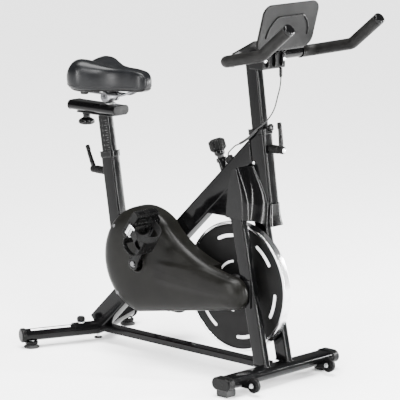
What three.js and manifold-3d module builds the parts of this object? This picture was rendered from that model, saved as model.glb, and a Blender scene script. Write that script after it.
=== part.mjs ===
// Indoor cycle with a belt-driven flywheel, a friction brake and a saddle and handlebar that slide on their posts.
// Millimetres. +X is forward, +Y is the rider's left, +Z is up. The floor is z = 0 and x = 0 is mid-length.
import * as THREE from "three";
import { mergeVertices } from "three/addons/utils/BufferGeometryUtils.js";
import Module from "manifold-3d";

const wasm = await Module();
wasm.setup();

// ---------------------------------------------------------------- driving dimensions
const GAP = 0.3; // between pieces that touch

const AXLE = { x: 166, z: 266 }; // flywheel centre
const FLYWHEEL = { radius: 194, thickness: 26, bore: 8.3, hubRadius: 36, hubHalf: 22 };
const CRANK_AXIS = { x: -155, z: 303 };
const CRANK = { length: 170, lean: 31.5, planeY: 113, thickness: 14 }; // lean: degrees forward of upright
const PULLEY = { big: 110, small: 28, y: 52, width: 12 };
const BELT = { thickness: 3, width: 11 };

const SPINE = { slope: 43.4, x: -155, z: 315, depth: 60, width: 40, wall: 2, foot: -425, head: 232 };
const SEAT_TUBE = { topX: -372, topZ: 600, slope: 0.168, depth: 50, width: 34, wall: 2.5, length: 405 };
const SEAT_POST = { depth: 42, width: 27, wall: 2, topZ: 716, length: 330 };
const HEAD_TUBE = { topX: 250, topZ: 735, slope: 0.14, depth: 58, width: 40, wall: 2.5, length: 205 };
const BAR_POST = { depth: 44, width: 28, wall: 2, topZ: 936, length: 318 };

const LEG = { y: 48.5, width: 25, depth: 46, wall: 2, footX: 304.5, footZ: 57, topX: 205.5, topZ: 497 };
const FRONT_BASE = { x: 318, z: 40, depth: 65, height: 32, half: 232, wall: 2 };
const REAR_BASE = { x: -424, z: 41, endX: -524, endY: 242, radius: 19, capRadius: 22.5, capLength: 14 };
const BOTTOM_BAR = { z: 47, width: 40, height: 20, wall: 1.5, rear: -404, front: 284.5 };
const REAR_FOOT = { x: -510, y: 209 };
const CENTRE_FOOT = { x: -430, lift: 7 };
const FRONT_FOOT = { x: 314, y: 213, length: 42, width: 39 };
const WHEEL = { x: 377, y: 164, z: 33, radius: 22.5, width: 12, pin: 4 };

const BRAKE = { x: 166, z: 466, lean: 22.5, knobLow: 209, knobHeight: 38, knobRadius: 25, padGap: 4.5 };
const SLIDER = { rear: -527, front: -321, z: 737, width: 66, height: 33, wall: 2.5 };
const BAR = { halfWidth: 193, tube: 14.5, grip: 17.3, rearX: 272, rearZ: 956 };
const BAR_ROUTE = { bendX: 427, bendZ: 988.5, tipX: 531, tipZ: 1071 };
const TABLET = { x: 334, z: 984, lean: 15.5, width: 236, height: 138, thickness: 9 };
const BUTTON = { y: 62, radius: 7 };

// ---------------------------------------------------------------- materials
const paint = (color, roughness, metalness) => new THREE.MeshStandardMaterial({ color, roughness, metalness });
const LOOK = {
  steel: paint(0x242526, 0.42, 0.3),
  plastic: paint(0x2b2a28, 0.6, 0),
  gloss: paint(0x202123, 0.25, 0),
  rubber: paint(0x161616, 0.85, 0),
  chrome: paint(0xd5d5d6, 0.12, 1),
  zinc: paint(0xa9abad, 0.35, 1),
  iron: paint(0x1d1d1c, 0.5, 0.4),
  leather: paint(0x1a1b1d, 0.45, 0),
  foam: paint(0x262523, 0.9, 0),
};

// ---------------------------------------------------------------- solids and booleans
function solid(geometry) {
  const bare = new THREE.BufferGeometry();
  const source = geometry.index ? geometry.toNonIndexed() : geometry;
  bare.setAttribute("position", source.getAttribute("position"));
  const merged = mergeVertices(bare, 1e-4);
  const mesh = new wasm.Mesh({
    numProp: 3,
    vertProperties: merged.attributes.position.array,
    triVerts: new Uint32Array(merged.index.array),
  });
  return new wasm.Manifold(mesh);
}

function geometryOf(manifold) {
  const mesh = manifold.getMesh();
  const geometry = new THREE.BufferGeometry();
  geometry.setAttribute("position", new THREE.BufferAttribute(new Float32Array(mesh.vertProperties), 3));
  geometry.setIndex(new THREE.BufferAttribute(new Uint32Array(mesh.triVerts), 1));
  geometry.computeVertexNormals();
  return geometry;
}

const union = (first, ...rest) => rest.reduce((sum, next) => sum.add(next), first);
const cut = (first, ...rest) => rest.reduce((left, next) => left.subtract(next), first);
const rad = THREE.MathUtils.degToRad;

function moved(geometry, x, y, z) {
  return geometry.translate(x, y, z);
}

const box = (sx, sy, sz, x, y, z) => solid(moved(new THREE.BoxGeometry(sx, sy, sz), x, y, z));

// A cylinder along X, Y or Z, centred on (x, y, z).
function rod(radius, length, axis, x, y, z, sides = 24) {
  const geometry = new THREE.CylinderGeometry(radius, radius, length, sides);
  if (axis === "x") geometry.rotateZ(Math.PI / 2);
  if (axis === "z") geometry.rotateX(Math.PI / 2);
  return solid(moved(geometry, x, y, z));
}

// A turned piece: profile points are [radius, height along the axis]; axis is a unit vector.
function turned(profile, axis, origin, sides = 24) {
  const geometry = new THREE.LatheGeometry(profile.map(([r, h]) => new THREE.Vector2(r, h)), sides);
  const turn = new THREE.Quaternion().setFromUnitVectors(new THREE.Vector3(0, 1, 0), axis);
  geometry.applyQuaternion(turn);
  return solid(moved(geometry, origin.x, origin.y, origin.z));
}

const X = new THREE.Vector3(1, 0, 0);
const Y = new THREE.Vector3(0, 1, 0);
const Z = new THREE.Vector3(0, 0, 1);
const at = (x, y, z) => new THREE.Vector3(x, y, z);

function roundedRect(width, height, radius, Kind = THREE.Shape) {
  const shape = new Kind();
  const w = width / 2;
  const h = height / 2;
  const r = Math.min(radius, w - 0.01, h - 0.01);
  shape.moveTo(-w + r, -h);
  shape.lineTo(w - r, -h);
  shape.absarc(w - r, -h + r, r, -Math.PI / 2, 0);
  shape.lineTo(w, h - r);
  shape.absarc(w - r, h - r, r, 0, Math.PI / 2);
  shape.lineTo(-w + r, h);
  shape.absarc(-w + r, h - r, r, Math.PI / 2, Math.PI);
  shape.lineTo(-w, -h + r);
  shape.absarc(-w + r, -h + r, r, Math.PI, Math.PI * 1.5);
  return shape;
}

// A straight tube in the plane y = p.y, from p to q. depth lies in that plane, width along Y; wall 0 is a bar.
function beam(p, q, depth, width, wall = 0, corner = 6, steps = 2) {
  const shape = roundedRect(depth, width, corner);
  if (wall > 0) shape.holes.push(roundedRect(depth - 2 * wall, width - 2 * wall, corner - wall, THREE.Path));
  const along = q.clone().sub(p);
  const geometry = new THREE.ExtrudeGeometry(shape, {
    depth: along.length(),
    bevelEnabled: false,
    curveSegments: steps,
  });
  const zAxis = along.clone().normalize();
  const xAxis = new THREE.Vector3().crossVectors(Y, zAxis).normalize();
  geometry.applyMatrix4(new THREE.Matrix4().makeBasis(xAxis, Y, zAxis).setPosition(p));
  return solid(geometry);
}

// A side outline in X and Z, extruded along Y from y0 to y1 and shifted by (x, z).
function plate(shape, y0, y1, steps = 6, x = 0, z = 0) {
  const geometry = new THREE.ExtrudeGeometry(shape, {
    depth: y1 - y0,
    bevelEnabled: false,
    curveSegments: steps,
  });
  geometry.rotateX(Math.PI / 2);
  return solid(moved(geometry, x, y1, z));
}

function outline(points) {
  const shape = new THREE.Shape();
  points.forEach(([x, z], i) => (i ? shape.lineTo(x, z) : shape.moveTo(x, z)));
  return shape;
}

// A skin through rings of equal point count, closed by a flat cap at each end. Rings run counter-clockwise
// seen from the far end of the loft.
function loft(rings) {
  const count = rings[0].length;
  const positions = [];
  const push = (...points) => points.forEach((p) => positions.push(p.x, p.y, p.z));
  for (let k = 0; k + 1 < rings.length; k++) {
    for (let i = 0; i < count; i++) {
      const j = (i + 1) % count;
      push(rings[k][i], rings[k][j], rings[k + 1][j]);
      push(rings[k][i], rings[k + 1][j], rings[k + 1][i]);
    }
  }
  const cap = (ring, flip) => {
    const u = ring[Math.floor(count / 4)].clone().sub(ring[0]).normalize();
    const n = new THREE.Vector3();
    for (let i = 0; i < count; i++) n.add(new THREE.Vector3().crossVectors(ring[i], ring[(i + 1) % count]));
    n.normalize();
    const v = new THREE.Vector3().crossVectors(n, u);
    const flat = ring.map((p) => new THREE.Vector2(p.dot(u), p.dot(v)));
    for (const [a, b, c] of THREE.ShapeUtils.triangulateShape(flat, [])) {
      if (flip) push(ring[a], ring[c], ring[b]);
      else push(ring[a], ring[b], ring[c]);
    }
  };
  cap(rings[0], true);
  cap(rings[rings.length - 1], false);
  const geometry = new THREE.BufferGeometry();
  geometry.setAttribute("position", new THREE.Float32BufferAttribute(positions, 3));
  return solid(geometry);
}

// A round or flat-sided section swept along a curve.
function swept(curve, shape, steps) {
  return solid(new THREE.ExtrudeGeometry(shape, { steps, extrudePath: curve, curveSegments: 3 }));
}

function disc(radius, sides) {
  const shape = new THREE.Shape();
  for (let i = 0; i < sides; i++) {
    const a = (2 * Math.PI * i) / sides;
    if (i) shape.lineTo(radius * Math.cos(a), radius * Math.sin(a));
    else shape.moveTo(radius, 0);
  }
  return shape;
}

const group = new THREE.Group();
function add(name, shape, look) {
  const mesh = new THREE.Mesh(geometryOf(shape), LOOK[look]);
  mesh.name = name;
  group.add(mesh);
  return mesh;
}

const SIDES = [
  { name: "left", s: 1 },
  { name: "right", s: -1 },
];

// ---------------------------------------------------------------- main frame
const spineAngle = rad(SPINE.slope);
const spineAt = (x, y = 0) => at(x, y, SPINE.z + (x - SPINE.x) * Math.tan(spineAngle));
const seatAt = (z, y = 0) => at(SEAT_TUBE.topX - (z - SEAT_TUBE.topZ) * SEAT_TUBE.slope, y, z);
const headAt = (z, y = 0) => at(HEAD_TUBE.topX - (z - HEAD_TUBE.topZ) * HEAD_TUBE.slope, y, z);
const legAt = (z, y) =>
  at(LEG.topX + ((LEG.topZ - z) * (LEG.footX - LEG.topX)) / (LEG.topZ - LEG.footZ), y, z);

// The outer volume of a tube, a gap larger all round, which cuts its neighbours.
const clear = (p, q, depth, width) => beam(p, q, depth + 2 * GAP, width + 2 * GAP, 0, 6);

const headLowZ = HEAD_TUBE.topZ - HEAD_TUBE.length;
const seatLowZ = SEAT_TUBE.topZ - SEAT_TUBE.length;
const headClear = clear(headAt(headLowZ - 1), headAt(HEAD_TUBE.topZ), HEAD_TUBE.depth, HEAD_TUBE.width);
const spineClear = clear(spineAt(SPINE.foot - 90), spineAt(SPINE.head + 10), SPINE.depth, SPINE.width);

const rearEnd = (s) => at(REAR_BASE.endX, s * REAR_BASE.endY, REAR_BASE.z);
const rearMiddle = at(REAR_BASE.x, 0, REAR_BASE.z);
const rearDirection = (s) => rearEnd(s).sub(rearMiddle).normalize();

// One half of the swept rear base, from the middle to the end, at a chosen radius.
function rearHalf(s, radius, reach, sides = 24) {
  const axis = rearDirection(s);
  const length = rearEnd(s).sub(rearMiddle).length() * reach;
  return turned([[0, 0], [radius, 0], [radius, length], [0, length]], axis, rearMiddle, sides);
}
const rearSolid = (radius, reach, sides) =>
  union(
    rearHalf(1, radius, reach, sides),
    rearHalf(-1, radius, reach, sides),
    solid(moved(new THREE.SphereGeometry(radius, sides, sides / 2), rearMiddle.x, 0, rearMiddle.z)),
  );

const brakeAxis = at(-Math.sin(rad(BRAKE.lean)), 0, Math.cos(rad(BRAKE.lean)));
const onBrake = (h) => at(BRAKE.x + brakeAxis.x * h, 0, BRAKE.z + brakeAxis.z * h);
const onAxis = (profile, sides = 16) => turned(profile, brakeAxis, onBrake(0), sides);
const brakeBore = onAxis([[0, -20], [12.5, -20], [12.5, 200], [0, 200]]);

// The spine is one weldment: the long tube, the crank shell that crosses it and, at its foot, a curved
// cradle that sits over the middle of the rear base.
const CRADLE = { inner: 19.8, outer: 23.5, reach: 0.34 };
const AXLE_BORE = 10.3;
const barRoom = box(
  BOTTOM_BAR.front - BOTTOM_BAR.rear + 60,
  BOTTOM_BAR.width + 2 * GAP,
  BOTTOM_BAR.height + 2 * GAP,
  (BOTTOM_BAR.front + BOTTOM_BAR.rear) / 2,
  0,
  BOTTOM_BAR.z,
);
add(
  "spine_tube",
  cut(
    union(
      cut(beam(spineAt(SPINE.foot), spineAt(SPINE.head), SPINE.depth, SPINE.width, SPINE.wall), barRoom),
      rearSolid(CRADLE.outer, CRADLE.reach, 16),
      rod(22, 76, "y", CRANK_AXIS.x, 0, CRANK_AXIS.z),
    ),
    headClear,
    rearSolid(CRADLE.inner, 0.5, 16),
    box(300, 400, 60, REAR_BASE.x, 0, REAR_BASE.z - 30),
    brakeBore,
    rod(AXLE_BORE, 80, "y", CRANK_AXIS.x, 0, CRANK_AXIS.z),
  ),
  "steel",
);

add(
  "seat_tube",
  cut(
    beam(seatAt(seatLowZ), seatAt(SEAT_TUBE.topZ), SEAT_TUBE.depth, SEAT_TUBE.width, SEAT_TUBE.wall),
    spineClear,
    rod(6.3, 20, "x", seatAt(542).x - SEAT_TUBE.depth / 2, 0, 542),
  ),
  "steel",
);

add(
  "head_tube",
  cut(
    beam(headAt(headLowZ), headAt(HEAD_TUBE.topZ), HEAD_TUBE.depth, HEAD_TUBE.width, HEAD_TUBE.wall),
    rod(6.3, 20, "x", headAt(690).x + HEAD_TUBE.depth / 2, 0, 690),
  ),
  "steel",
);

// Fork crown: the boxed gusset under the spine and the cross block that carries both legs.
const GUSSET = { low: 472, rear: 44, width: 40, plate: 3 };
const CROWN = { rear: 189, front: 236, low: 498, high: 548, half: 61 };
const gussetShape = outline([
  [GUSSET.rear, GUSSET.low],
  [262, GUSSET.low],
  [262, 640],
  [200, 640],
]);
const gussetHollow = outline([
  [GUSSET.rear + 40, GUSSET.low - 10],
  [200, GUSSET.low - 10],
  [200, 660],
  [GUSSET.rear + 40, 660],
]);
add(
  "fork_crown",
  cut(
    union(
      cut(
        plate(gussetShape, -GUSSET.width / 2, GUSSET.width / 2),
        plate(gussetHollow, -GUSSET.width / 2 + GUSSET.plate, GUSSET.width / 2 - GUSSET.plate),
      ),
      box(
        CROWN.front - CROWN.rear,
        2 * CROWN.half,
        CROWN.high - CROWN.low,
        (CROWN.front + CROWN.rear) / 2,
        0,
        (CROWN.high + CROWN.low) / 2,
      ),
    ),
    spineClear,
    headClear,
    brakeBore,
  ),
  "steel",
);

const AXLE_PLATE = { thickness: 5, height: 52 };
for (const { name, s } of SIDES) {
  const inner = s * (LEG.y + LEG.width / 2 - 0.5);
  const outer = s * (LEG.y + LEG.width / 2 + AXLE_PLATE.thickness);
  const shape = new THREE.Shape();
  const r = AXLE_PLATE.height / 2;
  const end = legAt(AXLE.z, 0).x + 12;
  shape.moveTo(AXLE.x, AXLE.z - r);
  shape.lineTo(end, AXLE.z - r - 16);
  shape.lineTo(end, AXLE.z + r + 16);
  shape.lineTo(AXLE.x, AXLE.z + r);
  shape.absarc(AXLE.x, AXLE.z, r, Math.PI / 2, Math.PI * 1.5);
  const low = legAt(LEG.footZ, s * LEG.y);
  const high = legAt(LEG.topZ, s * LEG.y);
  add(
    "fork_leg_" + name,
    cut(
      union(
        beam(low.clone().add(at(4, 0, -18)), high.clone().add(at(-4.5, 0, 20)), LEG.depth, LEG.width, LEG.wall, 5),
        plate(shape, Math.min(inner, outer), Math.max(inner, outer), 5),
      ),
      box(200, 200, 60, low.x, s * LEG.y, LEG.footZ - 30),
      box(200, 200, 60, high.x, s * LEG.y, LEG.topZ + 30.4),
      rod(8.4, 200, "y", AXLE.x, 0, AXLE.z),
    ),
    "steel",
  );
}

add(
  "bottom_bar",
  cut(
    beam(
      at(BOTTOM_BAR.rear, 0, BOTTOM_BAR.z),
      at(BOTTOM_BAR.front, 0, BOTTOM_BAR.z),
      BOTTOM_BAR.height,
      BOTTOM_BAR.width,
      BOTTOM_BAR.wall,
      3,
      2,
    ),
    rearSolid(CRADLE.outer + GAP, 0.4, 16),
  ),
  "steel",
);

// ---------------------------------------------------------------- rear base
const footBore = (x, y, radius) => rod(radius, 40, "z", x, y, 20, 14);
const capShare = REAR_BASE.capLength / rearEnd(1).sub(rearMiddle).length();
add(
  "rear_stabiliser",
  cut(
    rearSolid(REAR_BASE.radius, 1 - capShare * 0.25, 16),
    footBore(REAR_FOOT.x, REAR_FOOT.y, 6.4),
    footBore(REAR_FOOT.x, -REAR_FOOT.y, 6.4),
    footBore(CENTRE_FOOT.x, 0, 5.4),
  ),
  "steel",
);

for (const { name, s } of SIDES) {
  const axis = rearDirection(s);
  const end = rearEnd(s);
  const inside = REAR_BASE.radius + GAP;
  const out = REAR_BASE.capRadius;
  const cap = REAR_BASE.capLength;
  add(
    "rear_cap_" + name,
    turned([[0, -2.5], [inside, -2.5], [inside, -cap], [out, -cap], [out, -2], [out - 2, 0], [0, 0]], axis, end, 20),
    "plastic",
  );
  add(
    "rear_foot_" + name,
    turned(
      [[0, 0], [24, 0], [24, 5], [17, 10], [20, 14], [20, 21], [6, 21], [6, 38], [0, 38]],
      Z,
      at(REAR_FOOT.x, s * REAR_FOOT.y, 0),
      18,
    ),
    "rubber",
  );
}
add(
  "centre_foot",
  turned(
    [[0, 0], [13, 0], [13, 4], [5, 7], [5, 30], [0, 30]],
    Z,
    at(CENTRE_FOOT.x, 0, CENTRE_FOOT.lift),
    14,
  ),
  "rubber",
);

// ---------------------------------------------------------------- front base
// The front base runs along Y. alongFront is its section, grown by extra and hollowed by wall.
function alongFront(extra, wall, y0, y1) {
  const depth = FRONT_BASE.depth + extra;
  const height = FRONT_BASE.height + extra;
  const shape = roundedRect(depth, height, height / 2);
  if (wall > 0) {
    shape.holes.push(roundedRect(depth - 2 * wall, height - 2 * wall, height / 2 - wall, THREE.Path));
  }
  return plate(shape, y0, y1, 5, FRONT_BASE.x, FRONT_BASE.z);
}

// Wheel fork: two cheeks welded to the front base, with the wheel's pin between them.
const WHEEL_FORK = { cheekAt: 9, cheek: 3, nose: 9 };
function wheelFork(s) {
  const root = FRONT_BASE.x + FRONT_BASE.depth / 2 - 16;
  const shape = new THREE.Shape();
  shape.moveTo(root, WHEEL.z - WHEEL_FORK.nose);
  shape.lineTo(WHEEL.x, WHEEL.z - WHEEL_FORK.nose);
  shape.absarc(WHEEL.x, WHEEL.z, WHEEL_FORK.nose, -Math.PI / 2, Math.PI / 2);
  shape.lineTo(root, WHEEL.z + 12);
  const cheek = (offset) => {
    const middle = s * WHEEL.y + offset;
    return plate(shape, middle - WHEEL_FORK.cheek / 2, middle + WHEEL_FORK.cheek / 2, 4);
  };
  return union(
    cheek(-WHEEL_FORK.cheekAt),
    cheek(WHEEL_FORK.cheekAt),
    rod(WHEEL.pin, 2 * WHEEL_FORK.cheekAt + WHEEL_FORK.cheek, "y", WHEEL.x, s * WHEEL.y, WHEEL.z, 12),
  );
}
add(
  "front_stabiliser",
  union(
    alongFront(0, FRONT_BASE.wall, -FRONT_BASE.half, FRONT_BASE.half),
    cut(union(wheelFork(1), wheelFork(-1)), alongFront(-2 * FRONT_BASE.wall, 0, -300, 300)),
  ),
  "steel",
);

const FRONT_CAP = { inner: 214, outer: 242.5, wall: 3 };
for (const { name, s } of SIDES) {
  const span = (a, b) => (s > 0 ? [a, b] : [-b, -a]);
  const shell = alongFront(2 * FRONT_CAP.wall, 0, ...span(FRONT_CAP.inner, FRONT_CAP.outer));
  const socket = alongFront(2 * GAP, 0, ...span(FRONT_CAP.inner - 2, FRONT_BASE.half + GAP));
  add("front_cap_" + name, cut(shell, socket), "plastic");
  const footTop = FRONT_BASE.z - FRONT_BASE.height / 2 - FRONT_CAP.wall - GAP;
  add(
    "front_foot_" + name,
    box(FRONT_FOOT.length, FRONT_FOOT.width, footTop, FRONT_FOOT.x, s * FRONT_FOOT.y, footTop / 2),
    "rubber",
  );
  const half = WHEEL.width / 2;
  const bore = WHEEL.pin + GAP;
  add(
    "transport_wheel_" + name,
    turned(
      [[bore, -half], [WHEEL.radius, -half], [WHEEL.radius, half], [bore, half], [bore, -half]],
      Y,
      at(WHEEL.x, s * WHEEL.y, WHEEL.z),
      24,
    ),
    "rubber",
  );
}

// ---------------------------------------------------------------- fork cover
// A moulded hood over the crown: a narrow nose in front of the head tube and a lobe over the top of each leg.
const HOOD = { wall: 2.5, low: 484, noseLow: 469, half: 65, noseHalf: 34, rear: 171, front: 316 };
function lobeShape(inset) {
  const shape = new THREE.Shape();
  shape.moveTo(HOOD.rear + inset, HOOD.low - (inset ? 5 : 0));
  shape.lineTo(268 - inset, HOOD.low - (inset ? 5 : 0));
  shape.lineTo(262 - inset, 560);
  shape.quadraticCurveTo(256 - inset, 634 - inset, 226, 634 - inset);
  shape.quadraticCurveTo(192 + inset, 634 - inset, 182 + inset, 566);
  return shape;
}
function noseShape(inset) {
  const shape = new THREE.Shape();
  shape.moveTo(HOOD.rear + 8 + inset, HOOD.noseLow - (inset ? 5 : 0));
  shape.lineTo(HOOD.front - inset, HOOD.noseLow - (inset ? 5 : 0));
  shape.lineTo(HOOD.front - 5 - inset, 532);
  shape.lineTo(226, 626);
  shape.lineTo(196 + inset, 600);
  return shape;
}
const openDiagonal = outline([[150, 640], [240, 660], [340, 545], [316, 536], [226, 624], [180, 590]]);
add(
  "fork_cover",
  cut(
    union(plate(lobeShape(0), -HOOD.half, HOOD.half, 6), plate(noseShape(0), -HOOD.noseHalf, HOOD.noseHalf)),
    plate(lobeShape(HOOD.wall), -HOOD.half + HOOD.wall, HOOD.half - HOOD.wall, 6),
    plate(noseShape(HOOD.wall), -HOOD.noseHalf + HOOD.wall, HOOD.noseHalf - HOOD.wall),
    plate(openDiagonal, -22.5, 22.5),
    box(160, 45, 300, 150, 0, 540),
    headClear,
  ),
  "gloss",
);

// ---------------------------------------------------------------- belt drive
const small = PULLEY.small;
const big = PULLEY.big;
const driveY = -PULLEY.y;

const rimFace = FLYWHEEL.thickness / 2;
const webFace = rimFace - 3;
add(
  "flywheel",
  turned(
    [
      [FLYWHEEL.bore, -FLYWHEEL.hubHalf],
      [FLYWHEEL.hubRadius - 6, -FLYWHEEL.hubHalf],
      [FLYWHEEL.hubRadius, -webFace],
      [FLYWHEEL.radius - 8, -webFace],
      [FLYWHEEL.radius - 6, -rimFace],
      [FLYWHEEL.radius, -rimFace],
      [FLYWHEEL.radius, rimFace],
      [FLYWHEEL.radius - 6, rimFace],
      [FLYWHEEL.radius - 8, webFace],
      [FLYWHEEL.hubRadius, webFace],
      [FLYWHEEL.hubRadius - 6, FLYWHEEL.hubHalf],
      [FLYWHEEL.bore, FLYWHEEL.hubHalf],
      [FLYWHEEL.bore, -FLYWHEEL.hubHalf],
    ],
    Y,
    at(AXLE.x, 0, AXLE.z),
    40,
  ),
  "iron",
);

const beltHalf = BELT.width / 2;
function pulley(radius, bore, y0, y1, x, z, sides) {
  return turned([[bore, y0], [radius, y0], [radius, y1], [bore, y1], [bore, y0]], Y, at(x, 0, z), sides);
}
add(
  "flywheel_pulley",
  union(
    pulley(small, FLYWHEEL.bore, driveY - PULLEY.width / 2, driveY + PULLEY.width / 2, AXLE.x, AXLE.z, 24),
    pulley(18, FLYWHEEL.bore, driveY, -FLYWHEEL.hubHalf - GAP, AXLE.x, AXLE.z, 24),
  ),
  "zinc",
);
const nut = (y0, y1) =>
  turned([[0, y0], [14, y0], [14, y1], [0, y1]], Y, at(AXLE.x, 0, AXLE.z), 6);
const axleHalf = LEG.y + LEG.width / 2 + AXLE_PLATE.thickness + GAP;
add(
  "flywheel_axle",
  union(
    rod(8, 2 * axleHalf + 20, "y", AXLE.x, 0, AXLE.z),
    nut(axleHalf, axleHalf + 10),
    nut(-axleHalf - 10, -axleHalf),
  ),
  "zinc",
);
add(
  "drive_pulley",
  pulley(big, AXLE_BORE, driveY - PULLEY.width / 2, driveY + PULLEY.width / 2, CRANK_AXIS.x, CRANK_AXIS.z, 40),
  "plastic",
);

// The belt runs on both pulleys and along their two outer tangents.
function beltLoop(extra) {
  const dx = AXLE.x - CRANK_AXIS.x;
  const dz = AXLE.z - CRANK_AXIS.z;
  const distance = Math.hypot(dx, dz);
  const base = Math.atan2(dz, dx);
  const spread = Math.acos((big - small) / distance);
  const shape = new THREE.Shape();
  shape.absarc(CRANK_AXIS.x, CRANK_AXIS.z, big + extra, base + spread, base - spread + 2 * Math.PI);
  shape.absarc(AXLE.x, AXLE.z, small + extra, base - spread, base + spread);
  return shape;
}
add(
  "drive_belt",
  cut(
    plate(beltLoop(GAP + BELT.thickness), driveY - beltHalf, driveY + beltHalf, 18),
    plate(beltLoop(GAP), driveY - beltHalf - 1, driveY + beltHalf + 1, 18),
  ),
  "rubber",
);

// Cover outline at one depth: a large lobe round the crank axis that narrows to a nose at the flywheel axle.
const COVER = { backY: -31, wall: 3, centreZ: 306, noseX: 216, noseZ: 262, legX: 126, legY: -66.5 };
function coverRing(y, radius, noseRadius, noseX, steps = 30) {
  const centre = { x: CRANK_AXIS.x, z: COVER.centreZ };
  const points = [];
  const lobeFrom = rad(52);
  const lobeTo = rad(262);
  const lobeSteps = steps * 0.55;
  for (let i = 0; i <= lobeSteps; i++) {
    const a = lobeFrom + ((lobeTo - lobeFrom) * i) / lobeSteps;
    points.push([centre.x + radius * Math.cos(a), centre.z + radius * Math.sin(a)]);
  }
  const noseFrom = rad(-80);
  const noseTo = rad(84);
  const noseSteps = steps * 0.25;
  for (let i = 0; i <= noseSteps; i++) {
    const a = noseFrom + ((noseTo - noseFrom) * i) / noseSteps;
    points.push([noseX + noseRadius * Math.cos(a), COVER.noseZ + noseRadius * Math.sin(a)]);
  }
  const start = points[points.length - 1];
  const end = points[0];
  const bend = [centre.x + radius * 1.06, COVER.noseZ + noseRadius * 1.4 + 10];
  const topSteps = steps * 0.2;
  for (let i = 1; i < topSteps; i++) {
    const t = i / topSteps;
    const mix = (k) => (1 - t) ** 2 * start[k] + 2 * t * (1 - t) * bend[k] + t ** 2 * end[k];
    points.push([mix(0), mix(1)]);
  }
  return points.map(([x, z]) => at(x, y, z));
}
function coverBody(inset) {
  const levels = [
    [COVER.backY + (inset ? 5 : 0), 165, 50],
    [-72, 163, 49],
    [-84, 156, 46],
    [-92, 142, 41],
    [-98, 112, 34],
    [-101, 60, 26],
  ];
  return loft(
    levels.map(([y, radius, nose], i) =>
      coverRing(i ? y + inset : y, radius - inset, nose - inset, COVER.noseX - (i > 2 ? (i - 2) * 9 : 0)),
    ),
  );
}
const coverAxleHole = rod(24, 200, "y", CRANK_AXIS.x, -100, CRANK_AXIS.z);
const legRoom = box(240, 80, 300, COVER.legX + 120, COVER.legY + 40, 266);
add("belt_cover", cut(coverBody(0), coverBody(COVER.wall), coverAxleHole, legRoom), "plastic");
const backRing = (y) => coverRing(y, 165 - COVER.wall - 1, 50 - COVER.wall - 1, COVER.noseX);
add(
  "belt_backplate",
  cut(
    loft([backRing(COVER.backY + 0.5), backRing(COVER.backY - 2)]),
    rod(22.5, 200, "y", CRANK_AXIS.x, 0, CRANK_AXIS.z),
    legRoom,
    spineClear,
  ),
  "plastic",
);

// ---------------------------------------------------------------- cranks and pedals
const PEDAL = { centre: 62, width: 92, length: 86, height: 26, spindle: 6, turn: { left: 180, right: 125 } };
const crankAxleLength = 2 * (CRANK.planeY - CRANK.thickness / 2 - GAP);
add("crank_axle", rod(10, crankAxleLength, "y", CRANK_AXIS.x, 0, CRANK_AXIS.z), "zinc");
const crankEnd = (s) => {
  const a = rad(CRANK.lean);
  return at(CRANK_AXIS.x - s * CRANK.length * Math.sin(a), 0, CRANK_AXIS.z - s * CRANK.length * Math.cos(a));
};
const boss = (centre, radius, from, to, sides) =>
  turned([[0, from], [radius, from], [radius, to], [0, to]], Y, centre, sides);

// Toe cage in the pedal's own frame: a strap of plastic that leaves the front edge, rises and turns back
// over the shoe. Outer line first, then the inner line on the way back.
const cageLine = outline([
  [43.4, -5], [74, -2], [87, 12], [86, 44], [72, 62], [18, 64],
  [18, 60.5], [70, 58.5], [82, 42], [83, 14], [72, 2], [43.4, -1],
]);
for (const { name, s } of SIDES) {
  const end = crankEnd(s);
  const root = at(CRANK_AXIS.x, 0, CRANK_AXIS.z);
  const plane = s * CRANK.planeY;
  const y0 = plane - CRANK.thickness / 2;
  const y1 = plane + CRANK.thickness / 2;
  const spindleEnd = s * (CRANK.planeY + PEDAL.centre + PEDAL.width / 2 - 4);
  add(
    "crank_" + name,
    union(
      boss(root, 19, y0, y1, 20),
      boss(end, 14, y0, y1, 16),
      beam(root.clone().setY(plane), end.clone().setY(plane), 26, CRANK.thickness, 0, 4, 1),
      boss(end, PEDAL.spindle, Math.min(plane, spindleEnd), Math.max(plane, spindleEnd), 12),
    ),
    "steel",
  );
  const middle = s * (CRANK.planeY + PEDAL.centre);
  const half = PEDAL.width / 2;
  const pedal = add(
    "pedal_" + name,
    cut(
      plate(roundedRect(PEDAL.length, PEDAL.height, 8), middle - half, middle + half, 2),
      rod(PEDAL.spindle + GAP, 500, "y", 0, 0, 0, 16),
      box(20, 60, 60, 22, middle, 0),
      box(20, 60, 60, -22, middle, 0),
    ),
    "iron",
  );
  const cage = add("toe_cage_" + name, plate(cageLine, middle - 30, middle + 30), "plastic");
  for (const mesh of [pedal, cage]) {
    mesh.rotation.y = rad(PEDAL.turn[name]);
    mesh.position.set(end.x, 0, end.z);
  }
}

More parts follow.
